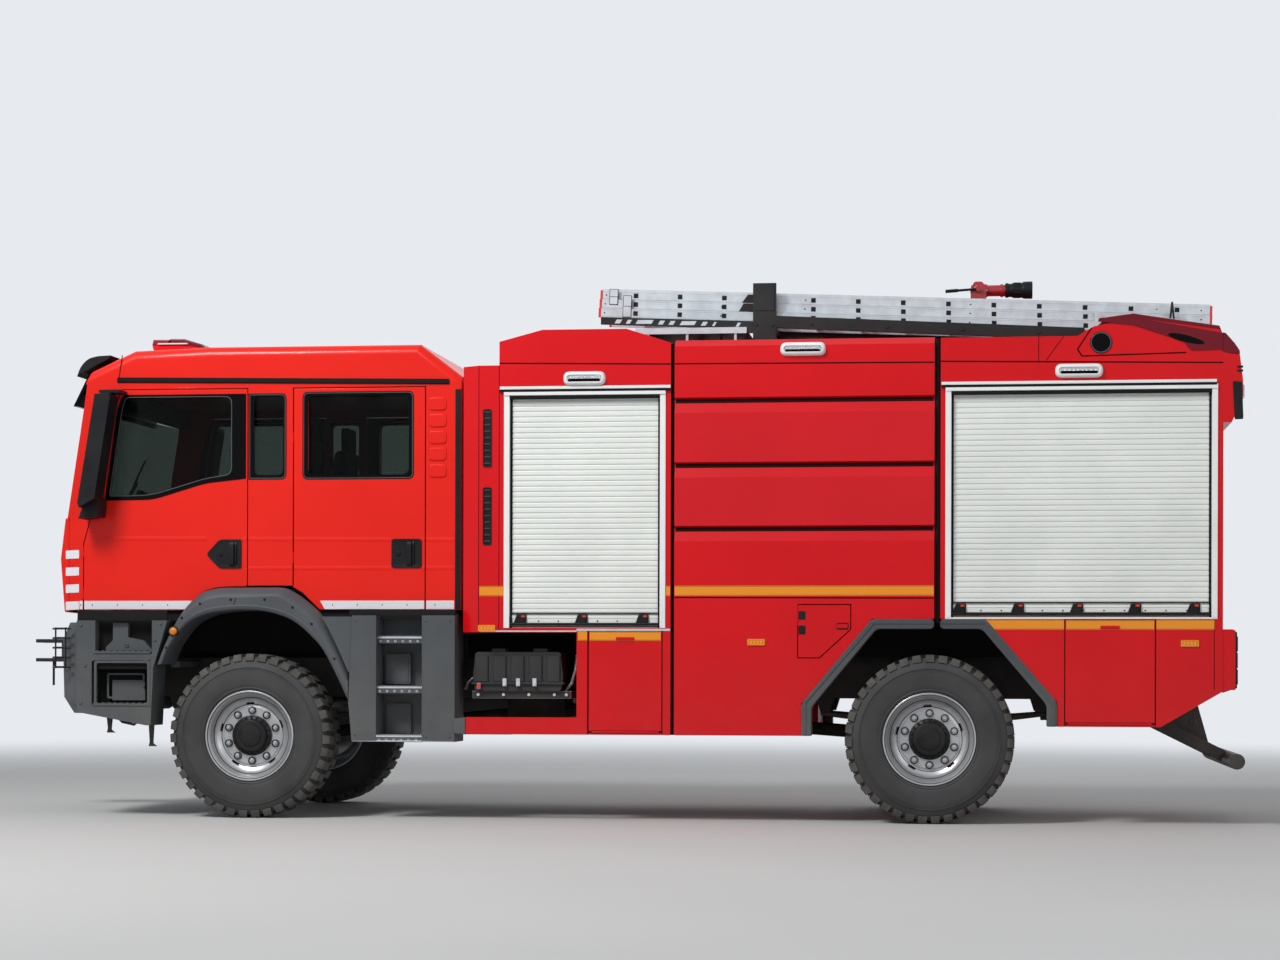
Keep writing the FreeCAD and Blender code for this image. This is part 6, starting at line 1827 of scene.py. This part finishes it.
def buildWalkwayTrim(bm):
    for k in range(walkwayTrim["strips"]):
        x = walkwayTrim["first"] + k * walkwayTrim["pitch"]
        addPrism(bm, "plan", [(x, -990), (x + 12, -990), (x + 24, -210), (x + 12, -210)], 3235, 3239)
    for y in (-1006, -202):
        addBox(bm, (2556, 3294), (y, y + 8), (3206, 3246))
    for x in (2640, 2900, 3220):
        addBar(bm, (x, -990, 3140), (x, -990, 3222), 10, 10)


make("walkwayTrim", buildWalkwayTrim, "aluminium", pair=None, bevel=0.8)

cannon = {"x": 4800, "y": 350, "z": 3645, "foot": 3140, "grips": 14, "lever": -106}


def buildCannonBarrel(bm):
    centre = place(cannon["x"], cannon["y"], cannon["z"])
    addTurnedX(bm, [(-58, 20), (-52, 40), (-20, 54), (30, 54), (58, 46), (66, 40), (150, 40), (152, 47),
                    (168, 47), (170, 42), (186, 42)], centre)
    addTurned(bm, [(-58, 20), (-56, 46), (-40, 50), (40, 50), (56, 46), (58, 20)], centre, -1, 28)
    addTurned(bm, [(-100, 17), (124, 17)], centre, -1, 18)


barrel = make("cannonBarrel", buildCannonBarrel, "monitorRed", "monitor_barrel", pair=None, bevel=1,
              smooth=40)[0]
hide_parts("monitor_barrel")


def buildCannonNozzle(bm):
    centre = place(cannon["x"], cannon["y"], cannon["z"])
    addTurnedX(bm, [(184, 44), (188, 51), (206, 51), (210, 47), (230, 47), (236, 52), (300, 52), (304, 56),
                    (318, 60), (372, 61), (374, 54), (360, 48), (352, 24), (372, 20), (374, 6)], centre)
    for k in range(cannon["grips"]):
        angle = 2 * math.pi * k / cannon["grips"]
        spot = centre + Vector((268, 51 * math.cos(angle), 51 * math.sin(angle))) / 1000
        bmesh.ops.create_cube(bm, size=1, matrix=Matrix.Translation(spot) @ Matrix.Rotation(-angle, 4, "X")
                              @ Matrix.Diagonal((0.05, 0.005, 0.009, 1)))
    x, y, z = cannon["x"], cannon["y"] + cannon["lever"], cannon["z"]
    addBar(bm, (x + 10, y, z), (x - 226, y, z - 15), 9, 12)
    addBar(bm, (x - 140, y, z - 9), (x - 228, y, z - 15), 12, 14)


make("cannonNozzle", buildCannonNozzle, "blackPlastic", "monitor_barrel", pair=None,
     smooth=40)


def buildCannonHead(bm):
    x, y, foot = cannon["x"], cannon["y"], cannon["foot"]
    for low, wide, narrow, tall in ((361, 0.074, 0.074, 0.06), (398, 0.056, 0.048, 0.044)):
        bmesh.ops.create_cone(bm, cap_ends=True, segments=32, radius1=wide, radius2=narrow, depth=tall,
                              matrix=Matrix.Translation(place(x, y, foot + low)))
    soften(bm, 4)
    yoke = rounded([(x - 54, foot + 402), (x + 54, foot + 402), (x + 54, foot + 500), (x + 30, foot + 558),
                    (x - 30, foot + 558), (x - 54, foot + 500)], 16, 4)
    for near in (y - 90, y + 66):
        addPrism(bm, "side", yoke, near, near + 24)
    addBox(bm, (x - 54, x + 54), (y - 88, y + 88), (foot + 402, foot + 423))
    for out in (-1, 1):
        addTurned(bm, [(0, 30), (5, 30), (8, 26), (8, 20)], place(x, y + out * 89, cannon["z"]), out, 24)
    addBar(bm, (x + 70, y, foot + 360), (x + 96, y, foot + 360), 26, 20)
    addBar(bm, (x + 96, y - 44, foot + 360), (x + 96, y + 44, foot + 360), 7, 12)


head = make("cannonHead", buildCannonHead, "monitorRed", "monitor_head", pair=None, bevel=1.2, smooth=40)[0]
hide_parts("monitor_head")
print("roof ready")

# Rear corner: beacon lens, bare badge, hood fittings and the tail

tail = {"badge": (5586, 3086), "plane": 6354, "lamps": (905, 1010, 1115), "hood": 6476,
        "crest": [(5562, 3196), (5622, 3252), (5790, 3273), (6330, 3187), (6352, 3128), (6330, 3120),
                  (5800, 3180), (5562, 3190)],
        "curtain": {"low": 1320, "high": 2516, "pitch": 34, "half": 838}}


def buildBadge(bm):
    x, z = tail["badge"]
    face = place(x, -side, z)
    addTurned(bm, [(-1, 70), (4, 70), (7, 66), (7, 60), (4, 57), (3.5, 1)], face, -1, 48, index=0)
    addTurned(bm, [(3, 66), (7.4, 66), (7.8, 64.5), (7.8, 60), (7, 59), (3, 59)], face, -1, 48, closed=True,
              index=1)


make("bareBadge", buildBadge, ["blackGloss", "greyPlastic"], smooth=40)


def buildBeacon(bm):
    joinRings(bm, [[bm.verts.new(place(x, y - side, z - drop)) for x, z in tail["crest"]]
                   for y, drop in ((14, 3), (20, 0), (310, 0), (318, 3))])
    soften(bm, 7, 3)


make("rearBeacons", buildBeacon, "deepLens", smooth=40)


# Lens on the side of the crest, and its wedge that runs down over the hood
def buildSweptLens(bm):
    addPrism(bm, "side", rounded([(5566, 3220), (5573, 3243), (5782, 3246), (6351, 3136), (6351, 3034),
                                  (6150, 3028), (6106, 3085), (5790, 3195)], [4, 10, 20, 4, 4, 14, 14, 30],
                                 4), -side - 8, -side + 2)
    soften(bm, 2.5, 3)
    wedge = bmesh.new()
    addPrism(wedge, "side", [(6349, 3140), (6366, 3137), (6424, 3070), (6454, 3024), (6456, 3004),
                             (6349, 3020)], -side - 8, -side + 330)
    soften(wedge, 6, 3)
    mergeInto(bm, wedge)


make("sweptLenses", buildSweptLens, "deepLens", smooth=40)


def buildBeaconCells(bm):
    middle, lean = Vector((6120, 3103)), math.radians(-15)
    oval = [(middle.x + 118 * c * math.cos(lean) - 22 * s * math.sin(lean),
             middle.y + 118 * c * math.sin(lean) + 22 * s * math.cos(lean)) for c, s in circle(28)]
    addPrism(bm, "side", oval, -side - 9.4, -side - 6)


make("beaconCells", buildBeaconCells, "blackGloss", bevel=0.8)


def buildTailLamps(bm):
    x, y = tail["plane"], 30 - side
    for k, low in enumerate(tail["lamps"]):
        addPrism(bm, "cross", softBox((y, y + 190), (low, low + 96), 16, 4), x + 78, x + 97, k % 2)


make("tailLamps", buildTailLamps, ["redLens", "amber"], bevel=2)


def buildTailTrim(bm):
    addRing(bm, "cross", softBox((16 - side, 236 - side), (880, 1240), 16, 4),
            softBox((26 - side, 226 - side), (892, 1228), 12, 4), tail["plane"] + 76, tail["plane"] + 90)
    for z in (2890, 2915):
        addPrism(bm, "side", softBox((6440, 6476), (z, z + 14), 4, 3), -side - 5, -side + 1)
    addPrism(bm, "side", rounded([(6412, 2832), (6470, 2825), (6478, 2590), (6424, 2588)], 8, 3), -side - 6,
             -side + 6)


make("tailTrim", buildTailTrim, "blackPlastic", bevel=1.2)
sidePlate("tailSides", rounded([(6349, 1256), (6424, 1256), (6432, 1180), (6432, 880), (6349, 850)], 10, 4),
          side - 13, side - 4, "bodyRed", bevel=1.5)


def buildHoodLamps(bm):
    for y in (130 - side, 250 - side):
        addPrism(bm, "cross", softBox((y, y + 100), (2736, 2822), 12, 4), tail["hood"] - 2, tail["hood"] + 20)


make("hoodLamps", buildHoodLamps, "clearLens", bevel=2)


def buildRearDoor(bm):
    start, v = tail["plane"] - 31, tail["curtain"]
    for z in range(v["low"], v["high"] - 29, v["pitch"]):
        addPrism(bm, "side", [(start, z), (start + 5, z + 5), (start + 5, z + 26), (start, z + 32),
                              (start - 4, z + 32), (start - 4, z)], -v["half"], v["half"])
    addPrism(bm, "side", softBox((start - 2, start + 16), (1254, 1308), 5, 3), 2 - v["half"], v["half"] - 2)


make("rearCurtain", buildRearDoor, "shutterWhite", pair=None, bevel=0.6)


# The round plugs of the underrun guard's tube
def buildGuardTrim(bm):
    addScrews(bm, ((6223, 650), (6190, 780), (6160, 900)), -442,
              ((0, 26), (6, 26), (8, 22), (8, 16), (2, 15), (2, 1)), 22)


make("guardTrim", buildGuardTrim, "frameBlack", bevel=0.6)
print("rear ready")
